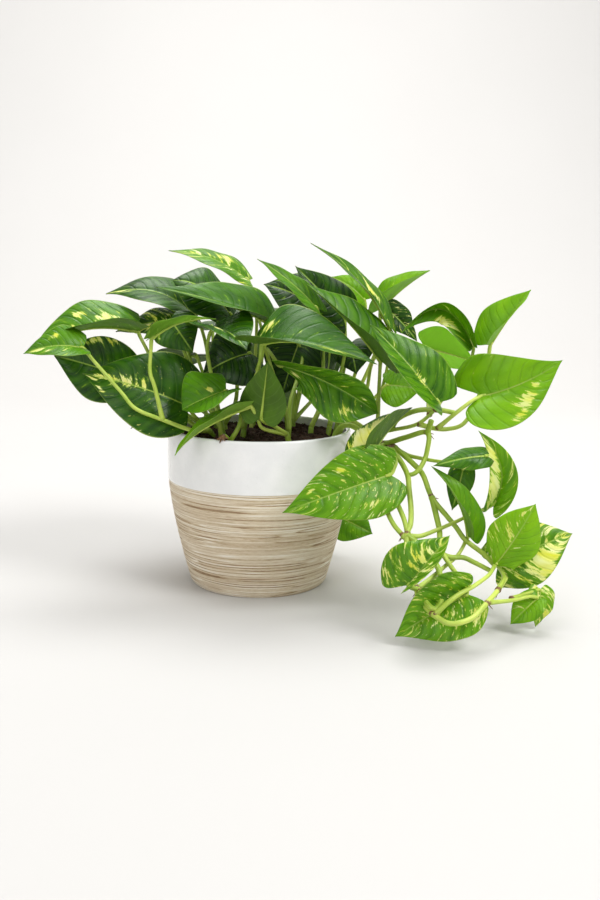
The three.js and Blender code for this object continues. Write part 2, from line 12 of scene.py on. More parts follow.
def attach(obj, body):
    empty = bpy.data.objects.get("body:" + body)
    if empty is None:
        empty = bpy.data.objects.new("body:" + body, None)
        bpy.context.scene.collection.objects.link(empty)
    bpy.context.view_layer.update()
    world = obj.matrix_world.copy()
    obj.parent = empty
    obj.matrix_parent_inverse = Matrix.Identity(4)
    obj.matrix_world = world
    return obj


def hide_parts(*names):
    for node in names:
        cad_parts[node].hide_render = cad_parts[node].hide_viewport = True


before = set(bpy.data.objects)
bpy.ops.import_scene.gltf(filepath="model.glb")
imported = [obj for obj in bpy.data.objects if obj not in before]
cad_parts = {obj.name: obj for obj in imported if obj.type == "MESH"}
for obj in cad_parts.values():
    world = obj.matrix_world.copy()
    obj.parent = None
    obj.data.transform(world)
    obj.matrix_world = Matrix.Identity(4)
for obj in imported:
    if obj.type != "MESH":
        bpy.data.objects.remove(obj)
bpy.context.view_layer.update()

MM = 0.001
BODY = "root"
SEED = 7

# The camera of the photograph, with its angles in degrees
FOCAL_PIXELS = 939
FRAME_PIXELS = 900
SENSOR_MM = 36
CAMERA_AT = (0, -838, 272)
CAMERA_DOWN, CAMERA_TURN, CAMERA_ROLL = 10.3, 2.5, 0.97

# Each light's name, place, size, power in watts and target, in metres, and the floor
PART_MIDDLE = (0, 0, 0.15)
LIGHTS = [("overhead", (0.0, 0.4, 2.3), 1.8, 27, PART_MIDDLE),
          ("key", (1.5, -1.1, 2.0), 1.2, 44, PART_MIDDLE),
          ("fill", (-1.5, -2.1, 1.3), 1.8, 17, PART_MIDDLE),
          ("backdrop", (0.0, 1.2, 3.2), 2.4, 76, (0, 3.0, 1.2))]
WORLD_COLOUR, WORLD_STRENGTH = (1.0, 0.99, 0.975, 1), 0.46
FLOOR_FRONT, FLOOR_BACK, FLOOR_HALF = -4000, 2600, 4500
SWEEP_RADIUS, BACKDROP_TOP = 1400, 5200

# The pot
RIM_RADIUS = 82
FOOT_RADIUS = 62
POT_HEIGHT = 140.6
BAND_TOP = 96
BAND_CURVE = 1.4
GLAZE_STEP = 0.25
GLAZE_TOP = 134
FOOT_ROUND = 2
WALL = 4.4
RIM_ROUND = 1.7
FLOOR_THICKNESS = 7
POT_SIDES = 384
BAND_STEP = 0.36
GROOVE_DEPTH = 0.42

# The soil
SOIL_TOP = 133
SOIL_HUMP = 3
SOIL_BUMP = 1.4
SOIL_RADIUS = 77.2
SOIL_SIDES = 220
SOIL_RINGS = 80
SOIL_SKIRT = 16
CRUMBS = 900
CRUMB_SEED = 21
CRUMB_MARGIN = 3
BIG_CRUMB_FROM = 0.93
RIM_CRUMBS = [(-54, -57.5, 141.4), (-52, -60, 141.6), (-56.5, -56, 141.3), (-50, -59, 141.0),
              (-36, -70.5, 141.5), (-27, -74, 141.4)]

# Vines and stalks
VINE_RADIUS = 2.3
STALK_RADIUS = 1.75
TUBE_SIDES = 12
TUBE_STEP = 2.2
PALE_AFTER = 320
VINE_RING, STEM_RING = 0.7, 0.2
VINING = ("vine_right", "vine_trailing")

# A cut stem end with roots that lies on the rim
STUB_STEM = "stem_front_arching"
STUB = [(-26, -56, 138), (-29, -66, 142.6), (-31, -76, 143.4)]
STUB_ROOTS = 9

# The outline of half a blade against s, from 0 at the stalk to 1 at the tip
NOTCH = 0.1
SHOULDER = 0.66
TAPER = 1.25
WIDEST_AT = (SHOULDER - NOTCH * TAPER) / (SHOULDER + TAPER)
WIDEST = (WIDEST_AT + NOTCH) ** SHOULDER * (1 - WIDEST_AT) ** TAPER
LOBE_TURN = 0.62 * math.pi
FOLD_EASE = 0.35
TWIST_FROM = 0.35
EDGE_WAVE = 1.2
WAVE_COUNT = 2.3
WAVE_SHIFT = 0.37

# The fine surface of a blade
LEAF_ROWS = 44
LEAF_COLUMNS = 31
ROW_TURN = 0.965 * math.pi
LAST_ROW = 0.985
EVEN_SHARE = 0.45
HALF_THICKNESS = 0.24
VEIN_SWEEP = 0.36
VEIN_PAIRS = 8
VEIN_WAVER = 0.35
MIDRIB_GROOVE = 0.7
GROOVE_WIDTH = 1.3
SHIMMER = 0.5
FULL_WIDTH = 60
LEAF_APART, TUBE_APART = 61.0, 47.0

# The materials of a leafy stem, by number
UPPER, UNDER, STALK = range(3)

PLAIN_LEAF = dict(bend=0, peak=0.45, fold=(20, 20), curl=(-30, -30), twist=0,
                  lobe=(0.13, 0.13), belly=1, quilt=0.25, tone=0.4, streaks=0.0, specks=0.0,
                  patches=[])
STEMS = {}


def stem(name, vines, leaves):
    STEMS[name] = (vines, leaves)


def leaf(stalk, tip, face, width, arch, **chosen):
    return {**PLAIN_LEAF, "stalk": stalk, "base": stalk[-1], "tip": tip, "face": face,
            "width": width, "arch": arch, **chosen}


# Every leafy stem, with its vines' routes and its leaves. A leaf has its stalk's route, which
# ends where the blade begins, the blade's tip, the way that its upper side looks, its width
# and its arch, which lifts the midrib that way. bend shifts the midrib to the right, and peak
# is where it arches most. fold and curl turn the left and right halves up, in degrees, and
# twist turns the blade about its midrib. lobe is how far the halves reach back past the base,
# as a share of the length, and belly above 1 moves the widest place towards the tip. tone goes
# from dark (0) to lime (1). It is partly the leaf's own green and partly painted light: leaves
# deep in the crown are set dark as painted shade, and leaves lit from behind are set lime as
# painted light. quilt is how far the blade swells between its side veins, and how strongly
# painted highlight lightens the swells and painted shade darkens the creases at the veins.
# streaks and specks are how much of the upper side turns yellow, and each of the patches adds
# yellow round a point: (s, t, radius, strength), with t from -1, left, to 1, right.
stem("stem_left_front", [[(-33, -25, 123), (-43, -36, 142)]], [
    leaf([(-43, -36, 142), (-58, -55, 146), (-81, -60, 155), (-103, -60, 164), (-115, -57, 177),
         (-128, -56, 192), (-138, -54, 203), (-147, -50, 213)], (-195, -56, 208), (-2, -16, 12), 40,
         7, fold=(42, 15), curl=(-10, -20), lobe=0.06, tone=0.5, streaks=0.1,
         patches=[(0.75, -0.3, 0.16, 0.85), (0.5, 0.5, 0.1, 0.6)]),
    leaf([(-81, -60, 155), (-87, -61, 182), (-91, -60, 195), (-90, -60, 213), (-89, -62, 223)],
         (-36, -64, 239), (0, 6, 19), 36, 6, fold=(35, 20), lobe=0.1, tone=0.62, streaks=0.15,
         patches=[(0.8, 0.1, 0.15, 0.8)]),
    leaf([(-43, -36, 142), (-62, -28, 150), (-81, -17, 181), (-92, -11, 195), (-100, -8, 210),
         (-105, -6, 219), (-108, -5, 225)], (-198, -20, 207), (-2, -12, 16), 66, 13, fold=(58, 20),
         curl=(-5, -15), lobe=0.03, belly=1.4, quilt=0.4, tone=0.42, streaks=0.12,
         patches=[(0.28, 0.35, 0.1, 0.8), (0.5, 0.55, 0.08, 0.66), (0.62, 0.15, 0.1, 0.5)]),
])
stem("stem_left_low", [[(-40, -12, 121), (-47, -13, 142)]], [
    leaf([(-47, -13, 142), (-56, -33, 154), (-62, -38, 164)], (-152, -33, 190), (-4, -16, 10), 78,
         10, lobe=(0.04, 0.13), tone=0.16, specks=0.08, patches=[(0.8, 0.05, 0.13, 0.8),
         (0.62, 0.05, 0.12, 0.66), (0.9, -0.4, 0.08, 0.9), (0.5, 0.04, 0.1, 0.5),
         (0.8, -0.75, 0.06, 0.6)]),
    leaf([(-47, -13, 142), (-85, 4, 162), (-103, 5, 174), (-116, 5, 181)], (-180, -10, 203),
         (-2, -17, 8), 60, 6, fold=(5, 50), lobe=0.05, belly=1.4, tone=0.14,
         patches=[(0.62, 0.88, 0.09, 0.75), (0.42, 0.92, 0.07, 0.7), (0.8, 0.8, 0.06, 0.6)]),
    leaf([(-47, -13, 142), (-49, -4, 156), (-63, 8, 200), (-69, 13, 222), (-73, 14, 233)],
         (-130, 14, 223), (0, -12, 16), 38, 4, tone=0.12, streaks=0.3, specks=0.3),
])
stem("stem_left_back", [[(-29, 2, 120), (-32, 6, 142)]], [
    leaf([(-32, 6, 142), (-42, 12, 163), (-49, 25, 207), (-55, 29, 229), (-59, 30, 236)],
         (-140, 25, 256), (-2, -11, 16), 56, 17, fold=(35, 15), lobe=0.03, belly=1.25, tone=0.16,
         streaks=0.05, patches=[(0.9, -0.3, 0.12, 0.9), (0.2, 0.3, 0.1, 0.6)]),
    leaf([(-32, 6, 142), (-22, 12, 163), (-21, 20, 208), (-22, 20, 229), (-26, 20, 238)],
         (-78, 5, 269), (-4, -14, 14), 54, 13, fold=(10, 5), lobe=0.05, peak=0.7, belly=1.8,
         tone=0.14),
])
stem("stem_left_high", [], [
    leaf([(-9, 20, 117), (-6, 38, 179), (-4, 54, 234), (-9, 60, 260), (-12, 60, 270)],
         (-86, 50, 296), (-6, -8, 17), 42, 8, lobe=0.05, tone=0.5, streaks=0.25,
         patches=[(0.35, 0.5, 0.15, 0.6), (0.75, 0.1, 0.15, 0.6)]),
])
stem("stem_left_inner", [[(-16, -22, 123), (-14, -20, 142)]], [
    leaf([(-14, -20, 142), (-8, -17, 176), (3, -11, 212), (5, -6, 226), (4, 0, 235)],
         (-91, -27, 264), (-2, -15, 13), 66, 6, fold=(60, 5), curl=(-5, -20), lobe=(0.02, 0.14),
         peak=0.3, belly=0.9, tone=0.33, streaks=0.04),
    leaf([(-14, -20, 142), (-10, -12, 162), (-7, -5, 186), (-7, -3, 199), (-9, -2, 207)],
         (-52, -4, 186), (-2, -18, 8), 60, 8, tone=0),
])
stem("stem_left_middle", [[(-28, -28, 122), (-33, -26, 142)]], [
    leaf([(-33, -26, 142), (-38, -22, 167), (-46, -16, 206), (-45, -17, 221), (-42, -20, 228)],
         (-11, -70, 214), (6, -11, 16), 60, 6, fold=(35, 28), curl=(-10, -20), lobe=0.2, tone=0.18,
         patches=[(0.5, 0.35, 0.07, 1)]),
    leaf([(-33, -26, 142), (-53, -18, 175), (-70, -17, 218), (-77, -19, 231), (-78, -19, 236)],
         (-58, -24, 208), (0, -18, 8), 44, 3, fold=0, tone=0.15, streaks=0.1),
])
stem("stem_front_small", [], [
    leaf([(-31, -44, 121), (-35, -50, 156), (-37, -54, 169), (-34, -58, 176), (-28, -60, 180)],
         (-64, -72, 165), (0, -16, 12), 60, 3, fold=(60, 0), curl=(-10, -10), belly=2, tone=0.5,
         patches=[(0.35, 0.2, 0.06, 1)]),
])
stem("stem_front_arching", [], [
    leaf([(-30, -52, 128), (-24, -56, 138), (-17, -55, 151), (-15, -50, 166), (-9, -48, 181),
         (-2, -53, 196), (0, -60, 210), (1, -60, 219)], (95, -80, 205), (0, -16, 12), 82, 13,
         fold=(-5, 66), curl=(-5, 0), lobe=(0.15, 0.03), peak=0.3, quilt=0.12, tone=0.26,
         streaks=0.05, patches=[(0.12, -0.5, 0.08, 0.8), (0.7, 0.3, 0.1, 0.6)]),
])
stem("stem_front_rim", [[(28, -48, 124), (23, -50, 142)]], [
    leaf([(23, -50, 142), (3, -58, 148), (-2, -60, 157), (-8, -62, 168)], (-69, -84, 129),
         (-9, 0, 18), 30, 6, fold=(30, 30), curl=(-5, -5), lobe=0.03, peak=0.7, tone=0.8),
    leaf([(23, -50, 142), (12, -56, 150), (4, -60, 154), (1, -64, 158)], (6, -64, 206), (2, 18, 3),
         40, 2, tone=0.3),
])
stem("stem_centre", [[(25, -28, 123), (25, -30, 142)]], [
    leaf([(25, -30, 142), (21, -28, 164), (10, -25, 194), (5, -36, 212), (8, -46, 211),
         (15, -50, 201)], (98, -72, 164), (1, -17, 4), 56, 5, bend=-4, fold=(98, 8), curl=(-10, 0),
         lobe=(0, -0.25), belly=3, quilt=0.55, tone=0.42, streaks=0.1, specks=0.08,
         patches=[(0.14, 0.25, 0.07, 0.9), (0.78, 0.5, 0.1, 0.6), (0.86, -0.3, 0.08, 0.6)]),
    leaf([(25, -30, 142), (27, -14, 166), (38, 18, 198), (35, 27, 215)], (20, 24, 166),
         (-2, -18, 7), 60, 4, tone=0.03),
])
stem("stem_centre_tall", [[(44, -12, 120), (46, -8, 142)]], [
    leaf([(46, -8, 142), (55, -6, 166), (55, -6, 219), (51, -7, 239), (49, -8, 247)],
         (-4, -10, 289), (6, -12, 12), 28, 4, fold=(35, 20), quilt=0.45, tone=0.46),
    leaf([(46, -8, 142), (56, 4, 166), (61, 2, 205), (60, 8, 218)], (57, 6, 180), (14, -9, 3), 34,
         4, tone=0),
])
stem("stem_centre_back", [[(60, -4, 121), (63, 0, 142)]], [
    leaf([(63, 0, 142), (66, 5, 158), (71, 12, 181), (77, 18, 207), (77, 23, 228), (76, 24, 238)],
         (30, 20, 284), (-8, -12, 11), 44, 4, fold=(35, 20), tone=0.06),
    leaf([(63, 0, 142), (70, 15, 163), (79, 27, 199), (82, 31, 214)], (88, 18, 187), (0, -19, 6),
         44, 4, tone=0),
])
stem("stem_right_upright", [], [
    leaf([(66, -14, 123), (73, -17, 143), (81, -18, 154), (93, -17, 174), (98, -12, 199),
         (109, -10, 221), (112, -10, 234)], (41, -20, 303), (15, -7, 12), 36, 8, curl=(-10, -10),
         tone=0.38, streaks=0.15, patches=[(0.35, 0.3, 0.1, 0.9), (0.75, -0.2, 0.1, 0.7)]),
])
stem("stem_right_back", [[(66, 8, 121), (71, 9, 143)]], [
    leaf([(71, 9, 143), (93, 14, 180), (109, 22, 219), (109, 25, 237), (109, 26, 246)],
         (152, 17, 282), (2, -12, 16), 46, 4, fold=(8, 80), curl=(-20, 0), belly=1.15, tone=0.8,
         streaks=0.05),
    leaf([(71, 9, 143), (83, 26, 172), (97, 36, 218), (97, 40, 244), (96, 41, 254)], (65, 42, 275),
         (0, -14, 12), 40, 4, tone=0.75),
    leaf([(71, 9, 143), (102, 4, 159), (114, 9, 190), (117, 13, 224), (114, 14, 241),
         (112, 15, 248)], (142, 12, 218), (4, -16, 10), 26, 3, fold=(50, 20), lobe=0.03, tone=0.1,
         specks=0.3),
    leaf([(71, 9, 143), (87, 4, 152), (102, -1, 167), (113, -3, 180)], (145, -3, 176), (0, -16, 10),
         44, 2, fold=(0, 20), tone=0.75, streaks=0.05),
])
stem("vine_right", [[(114, -33, 144), (120, -37, 155), (135, -44, 163), (151, -54, 165),
     (163, -63, 164)]], [
    leaf([(66, -6, 121), (73, -9, 144), (82, -16, 149), (99, -26, 141), (117, -36, 145),
         (135, -48, 152), (148, -54, 165), (153, -53, 172), (167, -41, 186), (180, -31, 202),
         (184, -28, 211), (184, -28, 218)], (121, -25, 227), (0, -17, 10), 40, 4, bend=28,
         fold=(30, 112), curl=(-10, 0), twist=-40, lobe=0.08, peak=0.5, tone=0.55, streaks=0.15,
         patches=[(0.45, -0.8, 0.2, 1), (0.3, -0.6, 0.15, 0.8)]),
    leaf([(148, -55, 165), (150, -58, 169), (150, -60, 172)], (91, -50, 236), (0, -17, 10), 58, 5,
         fold=(57, 10), curl=(-10, -20), lobe=0.06, quilt=0.6, tone=0.38, streaks=0.08,
         patches=[(0.3, -0.05, 0.09, 0.8), (0.42, 0.1, 0.06, 0.6)]),
    leaf([(135, -48, 152), (148, -52, 149), (159, -56, 149), (171, -58, 153), (180, -54, 164),
         (187, -46, 177), (192, -40, 191), (195, -39, 206), (196, -40, 220)], (228, -42, 267),
         (-8, -16, 6), 48, 3, fold=(0, 84), curl=(-15, 0), lobe=(0.13, 0), belly=1.15, tone=0.8),
    leaf([(151, -53, 149), (163, -64, 163), (176, -66, 174), (186, -60, 178)], (250, -70, 210),
         (0, -18, 8), 74, 6, bend=5, fold=(24, 34), twist=60, lobe=(0.36, 0.14), belly=0.75,
         quilt=0.45, tone=0.8, streaks=0.08, patches=[(0.5, 0.55, 0.13, 0.85),
         (0.62, 0.3, 0.1, 0.66), (0.42, 0.8, 0.08, 0.8)]),
    leaf([(144, -52, 160), (146, -30, 175), (148, 0, 194), (150, 20, 212)], (192, -10, 201),
         (4, 18, 6), 54, 4, fold=(60, 0), belly=1.1, quilt=0.6, tone=1.15, specks=0.1),
    leaf([(98, -28, 140), (102, -33, 149), (102, -38, 180), (102, -40, 197), (102, -40, 205)],
         (37, -50, 269), (8, -15, 10), 62, 5, fold=(66, 5), curl=(0, -15), quilt=0.5, tone=0.4,
         streaks=0.03),
])
stem("vine_trailing", [[(60, -25, 121), (68, -29, 142), (78, -34, 148), (94, -36, 139),
     (108, -38, 132), (114, -46, 128), (120, -58, 121), (124, -72, 112), (124, -82, 103),
     (124, -96, 89), (122, -108, 79), (118, -116, 72), (118, -126, 59), (119, -140, 47),
     (122, -150, 39), (122, -156, 35), (125, -168, 32), (131, -178, 28), (139, -186, 25),
     (148, -188, 26), (159, -184, 29), (172, -170, 35), (185, -150, 38), (196, -130, 41)],
     [(108, -38, 132), (126, -46, 140), (142, -57, 146), (141, -64, 131), (136, -70, 120),
     (130, -73, 114), (124, -72, 112)], [(142, -57, 146), (144, -62, 157)], [(113, -45, 128),
     (102, -74, 108), (104, -95, 89), (109, -106, 78), (117, -117, 70)], [(113, -45, 128),
     (107, -74, 108), (112, -92, 95), (117, -104, 83), (119, -114, 73)], [(108, -38, 132),
     (118, -44, 129), (132, -60, 118), (138, -68, 111), (143, -84, 96), (153, -98, 84),
     (160, -105, 76), (166, -114, 68), (180, -120, 58), (188, -121, 50)], [(143, -84, 96),
     (145, -97, 83), (146, -107, 74), (145, -122, 61), (152, -125, 57), (163, -123, 56),
     (172, -123, 52), (185, -121, 45)], [(118, -116, 72), (130, -121, 64), (136, -128, 57),
     (140, -138, 52), (141, -150, 44), (139, -164, 38), (134, -174, 33), (129, -176, 33),
     (124, -166, 37), (123, -152, 38)]], [
    leaf([(108, -38, 132), (101, -54, 132), (93, -73, 131), (91, -82, 130)], (130, -47, 166),
         (-10, -15, 10), 56, 5, fold=(5, 84), curl=(-20, 0), lobe=(0.3, 0), tone=0.3, streaks=0.15,
         patches=[(0.3, -0.5, 0.24, 1.1), (0.55, -0.6, 0.18, 0.8)]),
    leaf([(111, -42, 130), (115, -62, 123), (111, -81, 119), (107, -89, 116)], (18, -117, 90),
         (0, -17, 10), 61, 3, fold=(6, 38), curl=(-20, -20), lobe=0.09, quilt=0.8, tone=0.6,
         streaks=0.06, specks=0.3, patches=[(0.75, 0.55, 0.06, 0.75), (0.45, 0.6, 0.06, 0.7),
         (0.3, -0.6, 0.06, 0.7)]),
    leaf([(101, -36, 136), (101, -10, 124), (96, 25, 96), (88, 44, 65), (79, 50, 44)],
         (111, 44, 29), (0, -18, 6), 42, 3, tone=0.6, specks=0.15),
    leaf([(118, -116, 72), (129, -114, 71), (143, -110, 75), (156, -105, 79), (168, -100, 83),
         (181, -94, 87), (193, -91, 92)], (178, -87, 153), (-4, -19, 2), 28, 4, bend=12,
         fold=(64, 42), belly=1.1, tone=0.7, streaks=0.25, patches=[(0.3, -0.6, 0.28, 0.95),
         (0.65, -0.55, 0.3, 0.95), (0.9, 0, 0.12, 0.7)]),
    leaf([(122, -150, 39), (118, -158, 42), (113, -163, 46)], (144, -158, 84), (0, -16, 10), 58, 5,
         fold=(0, 88), curl=(-25, 0), lobe=(0.3, 0), quilt=0.45, tone=0.52, streaks=0.34),
    leaf([(122, -150, 39), (134, -140, 44), (146, -130, 50), (159, -120, 57), (167, -112, 67),
         (169, -110, 70)], (138, -100, 126), (4, -16, 4), 37, 4, bend=5, fold=(85, 0),
         curl=(0, -20), lobe=(0, 0.13), belly=0.85, tone=0.62, streaks=0.05),
    leaf([(131, -178, 28), (140, -177, 37), (151, -172, 43), (164, -162, 46), (179, -143, 48),
         (188, -125, 50)], (218, -125, 101), (4, -18, 6), 45, 4, fold=(10, 15), lobe=(-0.12, -0.1),
         belly=1.6, tone=0.86, specks=0.05, patches=[(0.45, -0.6, 0.5, 0.34),
         (0.88, -0.4, 0.1, 0.9)]),
    leaf([(185, -150, 38), (194, -132, 42), (195, -118, 44), (195, -108, 45)], (253, -114, 74),
         (0, -16, 10), 56, 8, fold=(20, 8), belly=1.3, quilt=0.5, tone=0.5, streaks=0.38,
         patches=[(0.6, 0.55, 0.3, 0.95)]),
    leaf([(172, -170, 35), (195, -156, 32), (212, -144, 31), (220, -139, 28)], (198, -144, 8),
         (-6, -16, 8), 24, 3, belly=1.3, tone=0.72, streaks=0.1),
    leaf([(195, -152, 32), (211, -140, 32), (220, -133, 32), (224, -130, 32)], (221, -134, 2),
         (6, -16, 8), 26, 4, tone=0.65, streaks=0.42),
    leaf([(145, -122, 61), (151, -136, 52), (155, -152, 48), (158, -164, 40)], (103, -170, 8),
         (0, -12, 16), 58, 1, fold=(-5, 74), curl=(-20, 0), quilt=0.7, tone=0.6, streaks=0.2,
         specks=0.3, patches=[(0.4, 0.1, 0.1, 0.8), (0.1, -0.7, 0.14, 0.7)]),
    leaf([(118, -44, 129), (127, -50, 125), (135, -56, 124), (145, -68, 124), (155, -80, 125),
         (169, -88, 126), (180, -94, 132), (184, -98, 134)], (139, -103, 126), (0, -16, 12), 22, 4,
         fold=(0, 0), tone=0.34, specks=0.1),
    leaf([(161, -83, 126), (165, -84, 125), (168, -85, 121)], (160, -85, 85), (0, -14, 12), 23, 4,
         tone=0.34, streaks=0.1, specks=0.1),
])
stem("stem_back_left", [[(-38, 22, 118), (-41, 26, 142)]], [
    leaf([(-41, 26, 142), (-50, 36, 174), (-60, 46, 200)], (-106, 84, 164), (-4, 6, 7), 62, 10,
         tone=0.1, streaks=0.1, specks=0.1),
    leaf([(-41, 26, 142), (-44, 52, 190), (-46, 66, 224)], (-86, 116, 212), (-3, 4, 9), 58, 9,
         tone=0.1, specks=0.15),
    leaf([(-41, 26, 142), (-60, 36, 154), (-66, 40, 160)], (-124, 58, 128), (-5, 3, 8), 50, 8,
         tone=0.1, streaks=0.05),
])
stem("stem_back_middle", [[(-8, 36, 118), (-6, 40, 142)]], [
    leaf([(-6, 40, 142), (-14, 58, 184), (-18, 70, 208)], (-28, 124, 164), (-1, 8, 7), 66, 10,
         tone=0.3, streaks=0.1),
    leaf([(-6, 40, 142), (2, 58, 206), (-2, 70, 236)], (0, 134, 228), (0, 4, 9), 54, 9, tone=0.08,
         specks=0.1),
    leaf([(-6, 40, 142), (2, 66, 158), (8, 76, 164)], (16, 122, 116), (1, 8, 6), 54, 8, tone=0.08,
         streaks=0.1),
])
stem("stem_back_right", [[(30, 26, 118), (31, 29, 142)]], [
    leaf([(31, 29, 142), (40, 52, 186), (42, 60, 206)], (74, 106, 168), (3, 7, 8), 60, 10, tone=0.2,
         streaks=0.1),
    leaf([(31, 29, 142), (52, 48, 162), (58, 56, 168)], (104, 96, 142), (5, 4, 8), 52, 8, tone=0.4,
         specks=0.15),
    leaf([(31, 29, 142), (34, 54, 206), (42, 66, 238)], (66, 112, 248), (2, 4, 9), 50, 8, tone=0.2,
         streaks=0.1),
    leaf([(31, 29, 142), (42, 42, 186), (52, 46, 228), (50, 40, 246)], (2, 36, 267), (-2, -14, 10),
         58, 7, tone=0),
])


def unit(v):
    return v / np.linalg.norm(v, axis=-1, keepdims=True)


def pair(v):
    return v if isinstance(v, tuple) else (v, v)


def turns(sides):
    return np.arange(sides) * 2 * math.pi / sides


# ---- shapes ----

class Shape:
    """Points, faces and per-point values that grow into one mesh."""

    FLOATS = ("tone", "streaks", "specks", "brown", "quilt")
    VECTORS = ("grain", "leaf")

    def __init__(self):
        self.points, self.faces, self.looks, self.count = [], [], [], 0
        self.values = {name: [] for name in self.FLOATS + self.VECTORS}

    def add(self, points, faces, looks=(0, 0, 0), **values):
        """Adds points (n, 3), a list of face arrays, each one's material number, and values."""
        n = len(points)
        self.points.append(points)
        for block, look in zip(faces, looks):
            self.faces.append(block + self.count)
            self.looks.append(np.broadcast_to(look, len(block)))
        for name in self.FLOATS:
            self.values[name].append(np.broadcast_to(values.get(name, 0.0), n))
        for name in self.VECTORS:
            self.values[name].append(np.broadcast_to(values.get(name, 0.0), (n, 3)))
        self.count += n

    def mesh(self, name):
        corners = np.concatenate([block.ravel() for block in self.faces])
        sizes = np.concatenate([np.full(len(b), b.shape[1]) for b in self.faces])
        mesh = bpy.data.meshes.new(name)
        mesh.vertices.add(self.count)
        mesh.vertices.foreach_set("co", (np.concatenate(self.points) * MM).ravel())
        mesh.loops.add(len(corners))
        mesh.loops.foreach_set("vertex_index", corners)
        mesh.polygons.add(len(sizes))
        mesh.polygons.foreach_set("loop_start", np.concatenate([[0], np.cumsum(sizes)[:-1]]))
        mesh.polygons.foreach_set("material_index", np.concatenate(self.looks))
        mesh.polygons.foreach_set("use_smooth", np.ones(len(sizes), bool))
        for value, rows in self.values.items():
            kind, key = ("FLOAT", "value") if value in self.FLOATS else ("FLOAT_VECTOR", "vector")
            layer = mesh.attributes.new(value, kind, "POINT")
            layer.data.foreach_set(key, np.concatenate(rows).ravel())
        mesh.update()
        mesh.validate()
        return mesh


def link(name, data):
    thing = bpy.data.objects.new(name, data)
    bpy.context.scene.collection.objects.link(thing)
    return thing


def add_piece(name, shape, materials, node):
    """The shape as an object that rides on the part's one body and replaces a CAD node."""
    piece = link(name, shape.mesh(name))
    for material in materials:
        piece.data.materials.append(material)
    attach(piece, BODY)
    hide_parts(node)


def grid_faces(rows, columns, closed=False):
    """Quads over a grid of points; closed joins each row's last point to its first."""
    here = np.arange(rows * columns).reshape(rows, columns)
    if closed:
        here = np.concatenate([here, here[:, :1]], axis=1)
    a, b, c, d = here[:-1, :-1], here[:-1, 1:], here[1:, 1:], here[1:, :-1]
    return np.stack([a, b, c, d], axis=-1).reshape(-1, 4)


def capped(rings, start, end):
    """A skin over rings of points, closed by a fan round one point at each end."""
    count, sides = rings.shape[:2]
    n = count * sides
    first, last = np.arange(sides), n - sides + np.arange(sides)
    low = np.stack([np.full(sides, n), np.roll(first, -1), first], axis=-1)
    high = np.stack([np.full(sides, n + 1), last, np.roll(last, -1)], axis=-1)
    points = np.concatenate([rings.reshape(-1, 3), [start, end]])
    return points, [grid_faces(count, sides, closed=True), low, high]


def lattice_noise(seed, x, y, wrap=256):
    """Smooth values from -1 to 1 over the plane; wrap is the whole period of x."""
    table = np.random.default_rng(seed).uniform(-1, 1, (256, 256))
    xi, yi = np.floor(x).astype(int), np.floor(y).astype(int)
    fx, fy = x - xi, y - yi
    fx, fy = fx * fx * (3 - 2 * fx), fy * fy * (3 - 2 * fy)
    x0, x1, y0, y1 = xi % wrap, (xi + 1) % wrap, yi % 256, (yi + 1) % 256
    low = table[x0, y0] * (1 - fx) + table[x1, y0] * fx
    high = table[x0, y1] * (1 - fx) + table[x1, y1] * fx
    return low * (1 - fy) + high * fy


# ---- leaves ----

def blade_frame(leaf):
    """The base, middle and end of the midrib's curve, the upper side's way, and the length."""
    base, tip = np.array(leaf["base"], float), np.array(leaf["tip"], float)
    chord = tip - base
    length = np.linalg.norm(chord)
    along = chord / length
    face = np.array(leaf["face"], float)
    face = unit(face - face @ along * along)
    side = np.cross(along, face)
    control = base + chord * leaf["peak"] + face * 2 * leaf["arch"] + side * 2 * leaf["bend"]
    return base, control, tip, face, length


def midrib(leaf, s):
    """The midrib's points at each s, with the ways along it and out of the upper side."""
    base, control, tip, face, _ = blade_frame(leaf)
    s = s[..., None]
    spine = (1 - s) ** 2 * base + 2 * s * (1 - s) * control + s ** 2 * tip
    along = unit(2 * (1 - s) * (control - base) + 2 * s * (tip - control))
    up = unit(face - (along @ face)[..., None] * along)
    turn = np.radians(leaf["twist"] * (s - TWIST_FROM))
    return spine, along, up * np.cos(turn) + np.cross(along, up) * np.sin(turn)


def blade_points(leaf, s, t, phase):
    """The blade's middle surface at each s and t, and how wide half of it is there."""
    spine, along, up = midrib(leaf, s)
    side = np.cross(along, up)
    right = t >= 0
    reach = np.abs(t)
    belly = np.power(s, leaf["belly"])
    outline = (belly + NOTCH) ** SHOULDER * np.maximum(1 - belly, 0) ** TAPER / WIDEST
    width = leaf["width"] / 2 * outline
    fold = np.radians(np.where(right, *pair(leaf["fold"])[::-1]) * (1 - FOLD_EASE * s))
    curl = np.radians(np.where(right, *pair(leaf["curl"])[::-1]))
    curl = np.where(curl == 0, 1e-6, curl)
    out = (np.sin(fold + curl * reach) - np.sin(fold)) / curl
    lift = (np.cos(fold) - np.cos(fold + curl * reach)) / curl
    lobe = np.maximum(np.sin(reach * LOBE_TURN), 0) ** 1.3 * (1 - s) ** 3
    lobe = lobe * np.where(right, *pair(leaf["lobe"])[::-1]) * blade_frame(leaf)[4]
    wave = 2 * math.pi * (WAVE_COUNT * s + phase + WAVE_SHIFT * (t > 0))
    wave = EDGE_WAVE * reach ** 2 * np.sin(wave) * np.sqrt(np.maximum(1 - s, 0))
    points = (spine - along * lobe[..., None] + side * (np.sign(t) * out * width)[..., None]
              + up * (lift * width + wave)[..., None])
    return points, width


